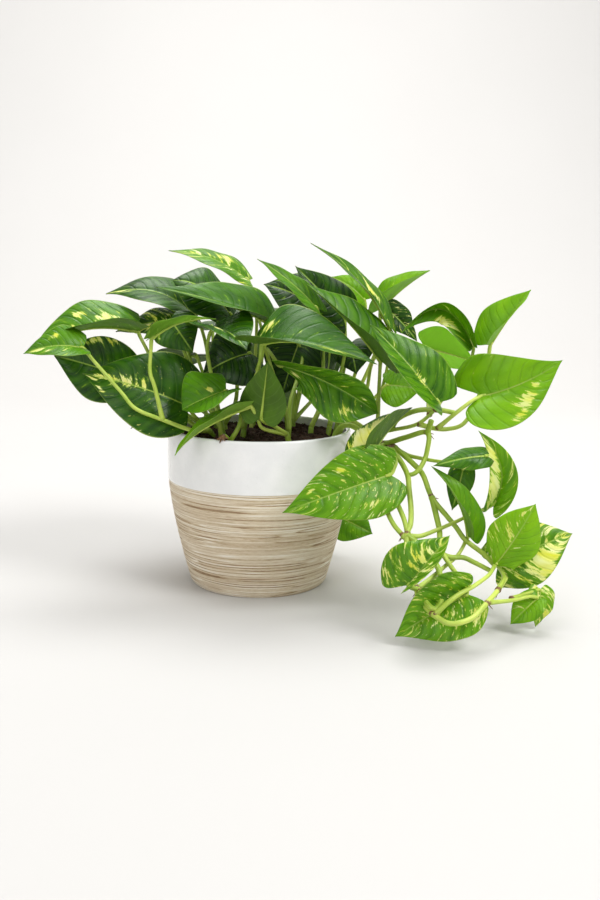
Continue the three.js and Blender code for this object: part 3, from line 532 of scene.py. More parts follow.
def blade_relief(leaf, s, t, vein, width, seed):
    """How far the surface stands out: quilted between the side veins, sunk at the midrib."""
    reach = np.abs(t)
    inside = np.sin(np.minimum(reach, 1) * math.pi) ** 0.7 * np.minimum(1, (1 - s) * 4)
    quilt = np.abs(np.sin(math.pi * vein)) ** 0.7 - 0.5
    groove = np.exp(-((reach * width) / GROOVE_WIDTH) ** 2) * (1 - s) ** 0.5
    roll = lattice_noise(seed, s * 5, t * 3 + 9) * SHIMMER * reach
    size = min(1, leaf["width"] / FULL_WIDTH)
    return size * (leaf["quilt"] * quilt * inside + roll) - MIDRIB_GROOVE * groove


def yellow_field(leaf, s, t):
    field = np.full(s.shape, float(leaf["streaks"]))
    for at, across, radius, strength in leaf["patches"]:
        distance = ((s - at) / radius) ** 2 + ((t - across) / (radius * 1.8)) ** 2
        field = np.maximum(field, strength * np.exp(-distance))
    return field


def blade_grid():
    """s and t over a blade, closer together at the base, the tip and the edges."""
    s = (1 - np.cos(np.linspace(0, ROW_TURN, LEAF_ROWS))) / 2
    t = np.sin(np.linspace(-0.5, 0.5, LEAF_COLUMNS) * math.pi)
    t = (1 - EVEN_SHARE) * t + EVEN_SHARE * np.linspace(-1, 1, LEAF_COLUMNS)
    return np.meshgrid(s / s[-1] * LAST_ROW, t, indexing="ij")


def sheet_faces(rows, columns):
    """An upper side, an under side and their rim, over two like grids that end in a tip."""
    count = rows * columns
    under = count + 1
    quads = grid_faces(rows, columns)
    last = count - columns + np.arange(columns - 1)
    fan = np.stack([last, last + 1, np.full(columns - 1, count)], axis=-1)
    edge = np.concatenate([np.arange(columns - 1, -1, -1), np.arange(1, rows) * columns,
                           [count], (np.arange(rows - 1, 0, -1) + 1) * columns - 1])
    rim = np.stack([edge, np.roll(edge, -1), np.roll(edge, -1) + under, edge + under], -1)
    return [quads, fan, quads[:, ::-1] + under, fan[:, ::-1] + under, rim]


def on_both_sides(grid, tip):
    """Values over the grid and at the tip, for the upper side and again for the under side."""
    return np.concatenate([grid.reshape(-1, len(tip)), [tip]] * 2)


def add_blade(shape, leaf, phase, seed):
    """A blade: an upper and an under side close together, with a rounded rim between."""
    s, t = blade_grid()
    middle, width = blade_points(leaf, s, t, phase)
    along, across = np.gradient(middle, axis=0), np.gradient(middle, axis=1)
    normal = unit(np.cross(across, along))
    source = s - VEIN_SWEEP * np.abs(t) ** 1.35 * (1 - 0.5 * s)
    waver = VEIN_WAVER * lattice_noise(seed + 1, s * 3, t * 1.5 + 30)
    vein = VEIN_PAIRS * source + waver
    middle = middle + normal * blade_relief(leaf, s, t, vein, width, seed)[..., None]
    thick = HALF_THICKNESS * (1.1 - 0.6 * np.abs(t) ** 4)[..., None]
    tip = midrib(leaf, np.array([1.0]))[0]
    points = np.concatenate([(middle + normal * thick).reshape(-1, 3), tip,
                             (middle - normal * thick).reshape(-1, 3), tip])
    length, apart = blade_frame(leaf)[4], LEAF_APART * seed
    grain = np.stack([source * length, t * width, np.full(s.shape, apart)], axis=-1)
    place = np.stack([s, t, vein], axis=-1)
    plain = {name: leaf[name] for name in ("tone", "specks", "quilt")}
    shape.add(points, sheet_faces(*s.shape), (UPPER, UPPER, UNDER, UNDER, UNDER), **plain,
              streaks=on_both_sides(yellow_field(leaf, s, t), [0.0])[:, 0],
              grain=on_both_sides(grain, [length, 0, apart]),
              leaf=on_both_sides(place, [1, 0, VEIN_PAIRS]))


# ---- stems ----

def run_along(path):
    """How far along the path each of its points lies."""
    return np.concatenate([[0], np.cumsum(np.linalg.norm(np.diff(path, axis=0), axis=1))])


def smooth_path(points, step):
    """A uniform Catmull-Rom curve through the points, cut into nearly even steps."""
    p = np.array(points, float)
    p = np.concatenate([[2 * p[0] - p[1]], p, [2 * p[-1] - p[-2]]])
    u = np.linspace(0, 1, 24, endpoint=False)[:, None]
    pieces = []
    for a, b, c, d in zip(p, p[1:], p[2:], p[3:]):
        pieces.append(0.5 * (2 * b + (c - a) * u + (2 * a - 5 * b + 4 * c - d) * u ** 2
                             + (3 * b - 3 * c + d - a) * u ** 3))
    dense = np.concatenate(pieces + [p[-2:-1]])
    run = run_along(dense)
    even = np.linspace(0, run[-1], max(6, round(run[-1] / step)))
    return np.stack([np.interp(even, run, dense[:, k]) for k in range(3)], axis=-1), even


def add_tube(shape, path, run, radius, seed, **values):
    """A round tube along a path, with a radius at each point and rounded-off ends."""
    along = unit(np.gradient(path, axis=0))
    side = np.cross(along[0], [0.3, 0.9, 0.2])
    frames = []
    for direction in along:
        side = unit(side - side @ direction * direction)
        frames.append(side)
    side = np.array(frames)[:, None, :]
    up = np.cross(along[:, None, :], side)
    turn = turns(TUBE_SIDES)[None, :, None]
    rings = path[:, None, :] + radius[:, None, None] * (side * np.cos(turn) + up * np.sin(turn))
    points, faces = capped(rings, path[0] - along[0] * radius[0] * 0.4,
                           path[-1] + along[-1] * radius[-1] * 0.6)

    def spread(value):
        """A value at each point of the path, for every point of the tube."""
        value = np.broadcast_to(np.asarray(value, float).reshape(-1, 1), rings.shape[:2])
        return np.concatenate([value.ravel(), value[0, :1], value[-1, :1]])

    around = np.concatenate([np.tile(turn.ravel() * VINE_RADIUS, len(path)), [0, 0]])
    grain = np.stack([around, spread(run), spread(TUBE_APART * seed)], -1)
    shape.add(points, faces, (STALK, STALK, STALK), grain=grain,
              **{name: spread(value) for name, value in values.items()})


def bump_at(run, at, width):
    return np.exp(-((run - at) / width) ** 2)


def add_stalk(shape, leaf, ringed, seed):
    """A leaf's stalk: a sheathed foot, a slim neck and a knee where the blade begins."""
    inside = midrib(leaf, np.array([0.05]))[0]
    path, run = smooth_path([*leaf["stalk"], *inside], TUBE_STEP)
    share = run / run[-1]
    size = STALK_RADIUS * (0.8 + 0.2 * min(1, leaf["width"] / 50))
    radius = size * (1.12 - 0.3 * share + 0.35 * np.exp(-share * 9))
    radius = radius + 0.3 * bump_at(run, run[-1] - 7, 4)
    add_tube(shape, path, run, radius, seed, tone=0.52 + 0.36 * leaf["tone"],
             brown=ringed * np.exp(-run / 3))
    add_keel(shape, leaf, radius[-1], seed)


def add_keel(shape, leaf, radius, seed):
    """The keel under a blade, which carries on from the stalk and thins out to the tip."""
    s = np.linspace(0.0, 0.93, 30)
    spine, _, up = midrib(leaf, s)
    size = (radius * 0.8) * (1 - s) ** 1.1 + 0.16
    path = spine - up * (0.45 * size + MIDRIB_GROOVE * (1 - s) ** 0.5)[:, None]
    add_tube(shape, path, run_along(path), size, seed, tone=0.5 + 0.3 * leaf["tone"])


def add_vine(shape, points, starts, seed):
    """A vine, with a thick brown ring and a rootlet at each place where a stalk starts."""
    path, run = smooth_path(points, TUBE_STEP)
    radius = VINE_RADIUS * (1.08 - 0.25 * run / max(run[-1], 80))
    brown = np.zeros(len(run))
    rng = np.random.default_rng(seed)
    for start in starts:
        gap = np.linalg.norm(path - np.array(start), axis=1)
        if gap.min() > 2 * VINE_RADIUS:
            continue
        at = run[gap.argmin()]
        radius = radius + 0.45 * bump_at(run, at, 1.8)
        brown = np.maximum(brown, 0.9 * bump_at(run, at - 1.5, 1.3))
        add_rootlet(shape, path[gap.argmin()], rng)
    add_tube(shape, path, run, radius, seed, tone=0.46 + 0.5 * run / PALE_AFTER, brown=brown)


def add_rootlet(shape, at, rng):
    """A short dry aerial root that points down and out."""
    way = unit(np.array([rng.uniform(-1, 1), rng.uniform(-0.4, 1), rng.uniform(-1.2, 0)]))
    length = rng.uniform(4, 8)
    bend = rng.uniform(-1, 1, 3)
    path, run = smooth_path([at, at + way * length * 0.5 + bend * 0.4, at + way * length], 1.0)
    add_tube(shape, path, run, 0.75 * (1 - 0.75 * run / run[-1]), 3, tone=0.2, brown=0.9)


def add_stub(shape, points, seed):
    """A stem's old cut end, with a tuft of dry roots."""
    rng = np.random.default_rng(seed)
    path, run = smooth_path(points, 1.5)
    share = run / run[-1]
    add_tube(shape, path, run, STALK_RADIUS * (1 + 0.25 * share), seed, tone=0.5,
             brown=np.clip(1.6 * share - 0.7, 0, 1))
    for _ in range(STUB_ROOTS):
        way = unit(rng.uniform((-1, -1.1, -0.9), (1, 0.3, 0.5)))
        ends = [path[-1], path[-1] + way * 2.2, path[-1] + way * rng.uniform(3.2, 5) - (0, 0, 0.8)]
        root, run = smooth_path(ends, 0.8)
        add_tube(shape, root, run, 0.95 * (1 - 0.6 * run / run[-1]), seed, tone=0.2, brown=1.0)


def stem_shape(name, number):
    shape = Shape()
    vines, leaves = STEMS[name]
    starts = [leaf["stalk"][0] for leaf in leaves] + [vine[0] for vine in vines]
    for k, vine in enumerate(vines):
        add_vine(shape, vine, starts if name in VINING else [], 20 * k + len(vine))
    if name == STUB_STEM:
        add_stub(shape, STUB, SEED)
    for k, leaf in enumerate(leaves):
        seed = SEED + 31 * number + 5 * k
        add_blade(shape, leaf, WAVE_SHIFT * (3 * number + k), seed)
        add_stalk(shape, leaf, VINE_RING if name in VINING else STEM_RING, seed)
    return shape


# ---- pot ----

def pot_radius(z):
    below = np.maximum(1 - np.asarray(z, float) / BAND_TOP, 0)
    return RIM_RADIUS - (RIM_RADIUS - FOOT_RADIUS) * below ** BAND_CURVE


def arc(across, up, radius, start, end, count):
    return [(across + radius * math.cos(a), up + radius * math.sin(a))
            for a in np.radians(np.linspace(start, end, count))]


def pot_profile():
    """The pot's half section as (radius, height), from the foot's middle to the floor's.

    The glaze ends above the band in a small rounded step.
    """
    band = np.arange(FOOT_ROUND + 0.6, BAND_TOP - 0.7, BAND_STEP)
    inner = np.linspace(FLOOR_THICKNESS + 10, POT_HEIGHT - RIM_ROUND - 1, 14)[::-1]
    lip = RIM_RADIUS - WALL + RIM_ROUND
    return [
        (0, 0), (FOOT_RADIUS * 0.5, 0),
        *arc(FOOT_RADIUS - FOOT_ROUND, FOOT_ROUND, FOOT_ROUND, -90, 0, 6),
        *[(float(pot_radius(z)), z) for z in band],
        (RIM_RADIUS - 0.02, BAND_TOP - 0.5), (RIM_RADIUS + 0.22, BAND_TOP - 0.25),
        *[(RIM_RADIUS + GLAZE_STEP, z) for z in np.linspace(BAND_TOP, GLAZE_TOP, 9)],
        *arc(RIM_RADIUS - RIM_ROUND, POT_HEIGHT - RIM_ROUND, RIM_ROUND, 0, 90, 7),
        *arc(lip, POT_HEIGHT - RIM_ROUND, RIM_ROUND, 90, 180, 7),
        *[(float(pot_radius(z)) - WALL, z) for z in inner],
        (FOOT_RADIUS - 10, FLOOR_THICKNESS + 2), (20, FLOOR_THICKNESS), (0, FLOOR_THICKNESS),
    ]


def ring_noise(seed, share, cells, y):
    """Noise round the pot, where share goes from 0 to 1 and cells is how many fit round."""
    return lattice_noise(seed, share * cells, y, cells)


def thread(seed, share, y, lines_apart, cells, width):
    """Thin lines that run nearly level round the pot and now and then meet: 1 on a line."""
    field = ring_noise(seed, share, cells, y / lines_apart)
    slope = np.abs(np.gradient(field, axis=0)) / BAND_STEP
    return np.exp(-(field / (slope + 0.06) / width) ** 2)


def winding(height):
    """The threads that are wound round the band: pale ridges up to 1, dark grooves to -1."""
    share = np.arange(POT_SIDES)[None, :] / POT_SIDES
    z = height[:, None] + 0 * share
    y = z + 0.8 * ring_noise(1, share, 5, z / 40) + 0.25 * ring_noise(2, share, 17, z / 13)
    pale = thread(3, share, y, 1.8, 4, 0.5)
    hairs = thread(7, share, y + 60, 1.0, 9, 0.26)
    dark = thread(4, share, y + 300, 2.6, 3, 0.40)
    broken = 0.65 + 0.6 * ring_noise(6, share, 23, y / 2.3)
    wash = ring_noise(5, share, 6, y / 9)
    # Where the level is low the band sinks into a groove and is painted dark, partly as painted
    # shade; where it is high it stands out as a ridge painted pale, partly as painted highlight
    level = 1.15 * pale * broken + 0.3 * hairs - 1.3 * dark * broken + 0.2 * wash - 0.22
    return np.clip(level, -1, 1)


def make_pot(materials):
    """The profile turned about +Z, with grooves and the second material on the band."""
    profile = pot_profile()
    radius, height = np.array(profile[1:-1]).T
    outside = radius > pot_radius(height) - WALL / 2
    banded = outside & (height < BAND_TOP - 0.6) & (height > 0.2)
    wound = winding(height) * banded[:, None]
    reach = radius[:, None] + GROOVE_DEPTH * (wound * 0.5 - 0.5) * banded[:, None]
    turn, up = np.broadcast_arrays(turns(POT_SIDES), height[:, None])
    rings = np.stack([reach * np.cos(turn), reach * np.sin(turn), up], axis=-1)
    points, faces = capped(rings, (0, 0, profile[0][1]), (0, 0, profile[-1][1]))
    grain = np.stack([turn * RIM_RADIUS, up, 0 * up], axis=-1)
    look = np.repeat(banded[:-1] | banded[1:], POT_SIDES).astype(int)
    shape = Shape()
    shape.add(points, faces, (look, 0, 0), tone=np.concatenate([wound.ravel(), [0, 0]]),
              grain=np.concatenate([grain.reshape(-1, 3), np.zeros((2, 3))]))
    add_piece("planter", shape, materials, "pot")


# ---- soil ----

def soil_height(x, y):
    out = np.hypot(x, y) / SOIL_RADIUS
    lumps = np.sin(0.19 * x + 1) * np.cos(0.23 * y) + np.sin(0.41 * x + 0.37 * y)
    smooth = SOIL_HUMP * (1 - out ** 2) + SOIL_BUMP * lumps * (1 - out ** 6)
    rough = 0
    for seed, height, size, shift in ((11, 1.1, 6, 40), (12, 0.6, 2.4, 80), (13, 0.3, 1.1, 99)):
        rough = rough + height * lattice_noise(seed, x / size + shift, y / size + shift)
    return SOIL_TOP + smooth + rough


def crumb_form():
    """An icosahedron split once: the form that every crumb of soil is bent from."""
    g = (1 + 5 ** 0.5) / 2
    corners = [(-1, g, 0), (1, g, 0), (-1, -g, 0), (1, -g, 0), (0, -1, g), (0, 1, g),
               (0, -1, -g), (0, 1, -g), (g, 0, -1), (g, 0, 1), (-g, 0, -1), (-g, 0, 1)]
    faces = [(0, 11, 5), (0, 5, 1), (0, 1, 7), (0, 7, 10), (0, 10, 11), (1, 5, 9), (5, 11, 4),
             (11, 10, 2), (10, 7, 6), (7, 1, 8), (3, 9, 4), (3, 4, 2), (3, 2, 6), (3, 6, 8),
             (3, 8, 9), (4, 9, 5), (2, 4, 11), (6, 2, 10), (8, 6, 7), (9, 8, 1)]
    points, halves, fine = [np.array(c, float) for c in corners], {}, []

    def half(a, b):
        key = (min(a, b), max(a, b))
        if key not in halves:
            halves[key] = len(points)
            points.append((points[a] + points[b]) / 2)
        return halves[key]

    for a, b, c in faces:
        ab, bc, ca = half(a, b), half(b, c), half(c, a)
        fine += [(a, ab, ca), (b, bc, ab), (c, ca, bc), (ab, bc, ca)]
    return unit(np.array(points)), np.array(fine)


def add_crumb(shape, at, size, rng, tone):
    points, faces = crumb_form()
    stretch = rng.uniform(0.6, 1.3, 3)
    lumpy = points * (1 + rng.uniform(-0.28, 0.28, (len(points), 1)))
    turn = np.linalg.qr(rng.normal(size=(3, 3)))[0]
    if np.linalg.det(turn) < 0:
        turn[:, 0] *= -1
    shape.add(at + (lumpy * stretch * size) @ turn.T, [faces], tone=tone, grain=points * size + at)


def make_soil(material):
    shape = Shape()
    turn = turns(SOIL_SIDES)
    out = SOIL_RADIUS * np.sqrt(np.linspace(0.0004, 1, SOIL_RINGS))[:, None]
    x, y = out * np.cos(turn), out * np.sin(turn)
    top = np.stack([x, y, soil_height(x, y)], -1)[::-1]
    skirt = top[:1].copy()
    skirt[..., 2] = SOIL_TOP - SOIL_SKIRT
    skirt[..., :2] *= 0.985
    points, faces = capped(np.concatenate([skirt, top]), (0, 0, SOIL_TOP - SOIL_SKIRT),
                           (0, 0, float(soil_height(0, 0))))
    shape.add(points, faces, tone=0.3, grain=points)
    rng = np.random.default_rng(CRUMB_SEED)
    for _ in range(CRUMBS):
        r = (SOIL_RADIUS - CRUMB_MARGIN) * math.sqrt(rng.uniform())
        a = rng.uniform(0, 2 * math.pi)
        size = rng.uniform(0.5, 1.3) * (1 + 1.2 * (rng.uniform() > BIG_CRUMB_FROM))
        x, y = r * math.cos(a), r * math.sin(a)
        at = np.array([x, y, soil_height(x, y) + 0.2 * size])
        add_crumb(shape, at, size, rng, rng.uniform(0, 1))
    for at in RIM_CRUMBS:
        add_crumb(shape, np.array(at), rng.uniform(1.0, 1.5), rng, 0.4)
    add_piece("potting_mix", shape, [material], "soil")


# ---- materials ----

class Nodes:
    """A procedural material that is written as short calls."""

    def __init__(self, name):
        self.material = bpy.data.materials.new(name)
        self.material.use_nodes = True
        self.tree = self.material.node_tree
        self.tree.nodes.clear()

    def node(self, kind, inputs, **settings):
        node = self.tree.nodes.new("ShaderNode" + kind)
        for name, value in settings.items():
            setattr(node, name, value)
        for socket, value in inputs.items():
            if isinstance(value, bpy.types.NodeSocket):
                self.tree.links.new(value, node.inputs[socket])
            else:
                node.inputs[socket].default_value = value
        return node

    def number(self, name):
        return self.node("Attribute", {}, attribute_name=name).outputs["Fac"]

    def vector(self, name):
        return self.node("Attribute", {}, attribute_name=name).outputs["Vector"]

    def split(self, vector):
        return self.node("SeparateXYZ", {0: vector}).outputs

    def math(self, operation, *values):
        return self.node("Math", dict(enumerate(values)), operation=operation).outputs[0]

    def times(self, first, second):
        return self.math("MULTIPLY", first, second)

    def vary(self, value, noise, amount):
        """The value, raised and lowered by the noise."""
        return self.math("MULTIPLY_ADD", self.math("SUBTRACT", noise, 0.5), amount, value)

    def stretch(self, vector, scale):
        return self.node("VectorMath", {0: vector, 1: scale}, operation="MULTIPLY").outputs[0]

    def position(self):
        """The place on the piece in millimetres."""
        return self.stretch(self.node("TexCoord", {}).outputs["Object"], (1 / MM,) * 3)

    def noise(self, vector, size=1.0, detail=2.0, roughness=0.5):
        """Noise in spots of about this size, spread out to fill most of 0 to 1."""
        raw = self.node("TexNoise", {"Vector": vector, "Scale": 1 / size, "Detail": detail,
                                     "Roughness": roughness}).outputs["Fac"]
        return self.ease(raw, 0.25, 0.75)

    def streaks(self, grain, across, along, detail, roughness=0.5):
        """Noise in spots of these two sizes, across and along the grain."""
        return self.noise(self.stretch(grain, (1 / across, 1 / along, 1)), 1, detail, roughness)

    def ease(self, value, low, high, start=0.0, end=1.0, kind="SMOOTHSTEP"):
        return self.node("MapRange", {"Value": value, 1: low, 2: high, 3: start, 4: end},
                         interpolation_type=kind).outputs[0]

    def line(self, value, low, high, start=0.0, end=1.0):
        return self.ease(value, low, high, start, end, "LINEAR")

    def mix(self, share, first, second):
        return self.node("Mix", {0: share, 6: colour(first), 7: colour(second)},
                         data_type="RGBA").outputs[2]

    def ramp(self, share, stops):
        node = self.node("ValToRGB", {0: share})
        marks = node.color_ramp.elements
        while len(marks) < len(stops):
            marks.new(0.5)
        for mark, (at, shade) in zip(marks, stops):
            mark.position, mark.color = at, colour(shade)
        return node.outputs[0]

    def bump(self, height, distance, strength=1.0):
        return self.node("Bump", {"Height": height, "Distance": distance * MM,
                                  "Strength": strength}).outputs[0]

    def principled(self, **inputs):
        return self.node("BsdfPrincipled", {name.replace("_", " "): value
                                            for name, value in inputs.items()}).outputs[0]

    def lit_through(self, surface, skin, tint, light, glow):
        """A blade's side: its surface, with a share of light that shines through the blade."""
        through = self.node("BsdfTranslucent", {"Color": self.mix(tint, skin, light)}).outputs[0]
        return self.node("MixShader", {0: glow, 1: surface, 2: through}).outputs[0]

    def done(self, surface):
        self.node("OutputMaterial", {"Surface": surface})
        return self.material


def colour(shade):
    return (*shade, 1.0) if isinstance(shade, tuple) else shade


UPPER_GREENS = [(0.0, (0.006, 0.034, 0.003)), (0.3, (0.028, 0.118, 0.003)),
                (0.6, (0.105, 0.300, 0.004)), (0.85, (0.225, 0.47, 0.007)),
                (1.0, (0.32, 0.57, 0.012))]
UNDER_GREENS = [(0.0, (0.045, 0.095, 0.012)), (0.5, (0.12, 0.25, 0.018)),
                (1.0, (0.45, 0.68, 0.12))]
STALK_GREENS = [(0.0, (0.13, 0.22, 0.010)), (0.5, (0.29, 0.44, 0.025)), (1.0, (0.58, 0.69, 0.12))]
# The band's tans, from the grooves' dark brown, partly painted shade, to the ridges' pale cream,
# partly painted highlight
THREAD_TANS_WITH_PAINTED_LIGHT = [(0.0, (0.26, 0.16, 0.080)), (0.2, (0.50, 0.37, 0.225)),
               (0.42, (0.71, 0.60, 0.435)), (0.65, (0.83, 0.75, 0.60)), (1.0, (0.95, 0.90, 0.80))]
SOIL_BROWNS = [(0.0, (0.008, 0.005, 0.003)), (0.5, (0.030, 0.017, 0.008)),
               (1.0, (0.11, 0.065, 0.03))]
YELLOW, CREAM, LIME = (0.80, 0.80, 0.05), (0.94, 0.94, 0.44), (0.30, 0.52, 0.02)
PALE_RIB, PALE_EDGE = (0.36, 0.55, 0.08), (0.36, 0.50, 0.08)
# Painted highlight for the swells between the side veins, and painted shade for the creases along
# them
SWELL_HIGHLIGHT_GREEN, CREASE_SHADE_GREEN = (0.24, 0.52, 0.02), (0.02, 0.085, 0.004)


def leaf_upper():
    m = Nodes("leaf_upper")
    grain, tone = m.vector("grain"), m.number("tone")
    across = m.math("ABSOLUTE", m.split(grain)["Y"])
    s, t, vein = m.split(m.vector("leaf")).values()
    edge = m.math("ABSOLUTE", t)
    # tone is partly the leaf's own green and partly painted shade and painted light, set leaf by
    # leaf; the noise varies it at random
    shade = m.vary(tone, m.streaks(grain, 22, 14, 3), 0.26)
    gap, quilt = m.math("PINGPONG", vein, 0.5), m.number("quilt")
    green = m.ramp(shade, UPPER_GREENS)
    # Painted highlight on the swells between the side veins and painted shade in the creases along
    # them, as strong as quilt
    green = m.mix(m.times(m.ease(gap, 0.08, 0.45, 0.0, 0.34), quilt), green, SWELL_HIGHLIGHT_GREEN)
    green = m.mix(m.times(m.ease(gap, 0.0, 0.13, 0.36, 0.0), quilt), green, CREASE_SHADE_GREEN)
    ribs = m.times(m.ease(gap, 0.0, 0.05, 0.12, 0.0), m.ease(edge, 0.3, 0.9, 1, 0))
    green = m.mix(ribs, green, PALE_RIB)
    level = m.math("ADD", m.streaks(grain, 4.2, 13, 5, 0.66), m.number("streaks"))
    green = m.mix(m.ease(level, 0.80, 1.0, 0.0, 0.7), green, LIME)
    fine = m.math("ADD", m.streaks(grain, 2.4, 5, 3, 0.6), m.times(m.number("specks"), 0.62))
    speck = m.times(m.ease(fine, 0.97, 1.06), 0.9)
    blond = m.mix(m.streaks(grain, 9, 20, 2), YELLOW, CREAM)
    skin = m.mix(m.math("MAXIMUM", m.ease(level, 0.97, 1.07), speck), green, blond)
    rib = m.times(m.ease(across, 0.25, 0.95, 1, 0), m.ease(s, 0.75, 1.0, 0.8, 0.1))
    skin = m.mix(rib, skin, PALE_RIB)
    skin = m.mix(m.ease(edge, 0.965, 0.995, 0, 0.7), skin, PALE_EDGE)
    cells = m.streaks(grain, 0.8, 0.8, 3)
    bump = m.bump(m.math("MULTIPLY_ADD", cells, 0.2, m.ease(gap, 0, 0.16)), 0.3, 0.9)
    glossy = m.principled(Base_Color=skin, Specular_IOR_Level=0.24, Coat_Weight=0.06,
                          Roughness=m.line(m.streaks(grain, 5, 5, 3), 0, 1, 0.25, 0.40),
                          Coat_Roughness=0.14, Normal=bump)
    glow = m.line(shade, 0.1, 0.95, 0.03, 0.42)
    return m.done(m.lit_through(glossy, skin, 0.6, (0.50, 0.90, 0.01), glow))


def leaf_lower():
    m = Nodes("leaf_lower")
    grain, tone = m.vector("grain"), m.number("tone")
    gap = m.math("PINGPONG", m.split(m.vector("leaf"))["Z"], 0.5)
    cloud = m.streaks(grain, 18, 12, 3)
    # tone carries the same painted shade and painted light here as on the upper side
    shade = m.vary(tone, cloud, 0.25)
    green = m.mix(m.ease(gap, 0, 0.07, 0.2, 0), m.ramp(shade, UNDER_GREENS), (0.34, 0.52, 0.13))
    level = m.math("ADD", m.streaks(grain, 4.2, 13, 5, 0.66), m.number("streaks"))
    skin = m.mix(m.ease(level, 0.95, 1.06, 0, 0.75), green, (0.62, 0.70, 0.16))
    matte = m.principled(Base_Color=skin, Roughness=m.line(cloud, 0, 1, 0.5, 0.62),
                         Specular_IOR_Level=0.22,
                         Normal=m.bump(m.streaks(grain, 1, 1, 3), 0.15, 0.5))
    glow = m.line(shade, 0.1, 1, 0.06, 0.6)
    return m.done(m.lit_through(matte, skin, 0.5, (0.50, 0.90, 0.02), glow))


def stalk_skin():
    m = Nodes("stalk_skin")
    grain = m.vector("grain")
    threads = m.streaks(grain, 0.7, 14, 4)
    cloud = m.streaks(grain, 6, 16, 2)
    green = m.ramp(m.vary(m.number("tone"), cloud, 0.4), STALK_GREENS)
    green = m.mix(m.times(threads, 0.3), green, (0.45, 0.60, 0.12))
    worn = m.ease(m.math("ADD", m.number("brown"), m.times(threads, 0.3)), 0.35, 0.75)
    skin = m.mix(worn, green, (0.17, 0.085, 0.03))
    return m.done(m.principled(Base_Color=skin, Roughness=m.line(cloud, 0, 1, 0.36, 0.52),
                               Subsurface_Weight=0.12, Subsurface_Radius=(0.5, 0.8, 0.2),
                               Subsurface_Scale=2 * MM, Normal=m.bump(threads, 0.2, 0.6)))


def white_glaze():
    m = Nodes("white_glaze")
    place = m.position()
    cloud = m.noise(place, 18, 3)
    skin = m.mix(cloud, (0.80, 0.805, 0.80), (0.86, 0.86, 0.85))
    skin = m.mix(m.ease(m.noise(place, 1.2, 2), 0.97, 1.0, 0, 0.25), skin, (0.55, 0.50, 0.42))
    return m.done(m.principled(Base_Color=skin, Roughness=m.line(cloud, 0, 1, 0.10, 0.2),
                               Specular_IOR_Level=0.55, Coat_Weight=0.3, Coat_Roughness=0.06,
                               Normal=m.bump(m.noise(place, 7, 2), 0.25, 0.35)))


def wound_band():
    m = Nodes("wound_band")
    grain = m.vector("grain")
    fibre = m.streaks(grain, 7, 0.45, 4, 0.7)
    # The wound level picks the colour: darker in the grooves as painted shade and paler on the
    # ridges as painted highlight, over the threads' own tans
    skin = m.ramp(m.vary(m.line(m.number("tone"), -1, 1), fibre, 0.3), THREAD_TANS_WITH_PAINTED_LIGHT)
    stain = m.streaks(grain, 40, 9, 3)
    skin = m.mix(m.times(stain, 0.22), skin, (0.50, 0.38, 0.24))
    return m.done(m.principled(Base_Color=skin, Roughness=m.line(stain, 0, 1, 0.6, 0.78),
                               Specular_IOR_Level=0.3, Normal=m.bump(fibre, 0.3, 0.7)))


def soil_mix():
    m = Nodes("soil_mix")
    place = m.vector("grain")
    grit = m.noise(place, 1.1, 4, 0.65)
    shade = m.math("MULTIPLY_ADD", m.number("tone"), 0.35, m.times(grit, 0.6))
    skin = m.mix(m.times(m.noise(place, 9, 3), 0.4), m.ramp(shade, SOIL_BROWNS),
                 (0.06, 0.022, 0.010))
    return m.done(m.principled(Base_Color=skin, Roughness=m.line(grit, 0, 1, 0.8, 0.98),
                               Specular_IOR_Level=0.2, Normal=m.bump(grit, 0.6)))


def floor_paint():
    m = Nodes("floor_paint")
    cloud = m.noise(m.position(), 420, 2)
    skin = m.mix(cloud, (0.588, 0.578, 0.563), (0.596, 0.586, 0.571))
    return m.done(m.principled(Base_Color=skin, Roughness=m.line(cloud, 0, 1, 0.8, 0.85),
                               Specular_IOR_Level=0.1))


# ---- studio ----

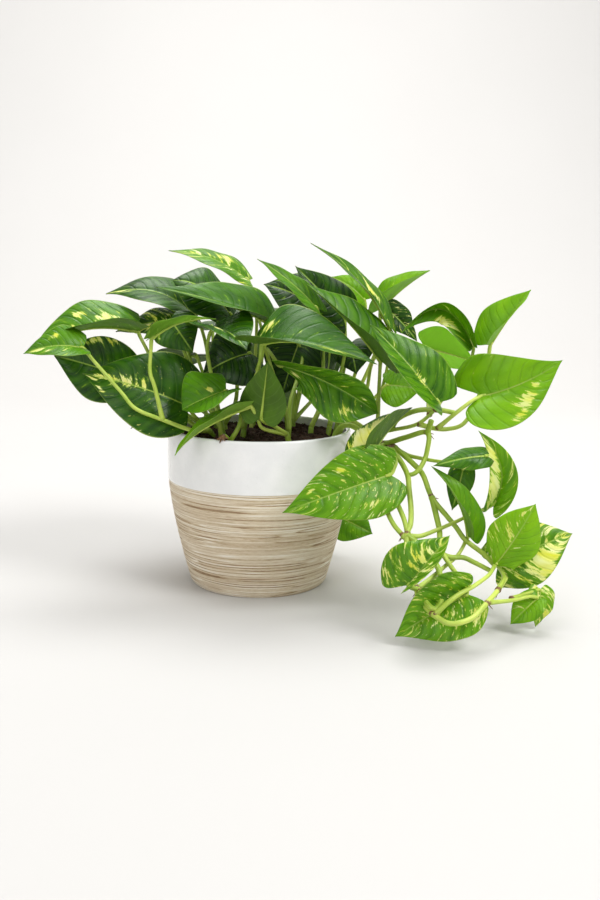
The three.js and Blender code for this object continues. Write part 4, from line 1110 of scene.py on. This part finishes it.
def make_floor():
    """A wide floor that sweeps up into the backdrop."""
    profile = [(FLOOR_FRONT, 0), (0, 0),
               *arc(FLOOR_BACK - SWEEP_RADIUS, SWEEP_RADIUS, SWEEP_RADIUS, -90, 0, 24),
               (FLOOR_BACK, BACKDROP_TOP)]
    points = np.array([(x, y, z) for y, z in profile for x in (-FLOOR_HALF, FLOOR_HALF)], float)
    shape = Shape()
    shape.add(points, [grid_faces(len(profile), 2)[:, ::-1]])
    floor = link("floor", shape.mesh("floor"))
    floor.data.materials.append(floor_paint())


def make_camera():
    down, turn, roll = map(math.radians, (CAMERA_DOWN, CAMERA_TURN, CAMERA_ROLL))
    ahead = Vector((math.sin(turn) * math.cos(down), math.cos(turn) * math.cos(down),
                    -math.sin(down)))
    right = Vector((math.cos(turn), -math.sin(turn), 0))
    up = right.cross(ahead)
    x = right * math.cos(roll) + up * math.sin(roll)
    y = up * math.cos(roll) - right * math.sin(roll)
    data = bpy.data.cameras.new("camera")
    data.sensor_width = SENSOR_MM
    data.lens = FOCAL_PIXELS / FRAME_PIXELS * SENSOR_MM
    data.clip_start, data.clip_end = 0.05, 50
    camera = link("camera", data)
    camera.matrix_world = Matrix.Translation(Vector(CAMERA_AT) * MM) @ Matrix(
        (x, y, -ahead)).transposed().to_4x4()
    bpy.context.scene.camera = camera


def make_light():
    world = bpy.data.worlds.new("studio")
    world.use_nodes = True
    background = world.node_tree.nodes["Background"]
    background.inputs["Color"].default_value = WORLD_COLOUR
    background.inputs["Strength"].default_value = WORLD_STRENGTH
    bpy.context.scene.world = world
    for name, at, size, power, aim in LIGHTS:
        data = bpy.data.lights.new(name, "AREA")
        data.shape, data.size, data.energy = "DISK", size, power
        light = link(name, data)
        light.location = at
        light.rotation_mode = "QUATERNION"
        light.rotation_quaternion = (Vector(aim) - Vector(at)).to_track_quat("-Z", "Y")


# ---- the whole ----

make_floor()
make_camera()
make_light()
make_pot([white_glaze(), wound_band()])
make_soil(soil_mix())
leaf_materials = [leaf_upper(), leaf_lower(), stalk_skin()]
for number, name in enumerate(STEMS):
    add_piece(name, stem_shape(name, number), leaf_materials, name)
bpy.context.scene.view_settings.view_transform = "Standard"
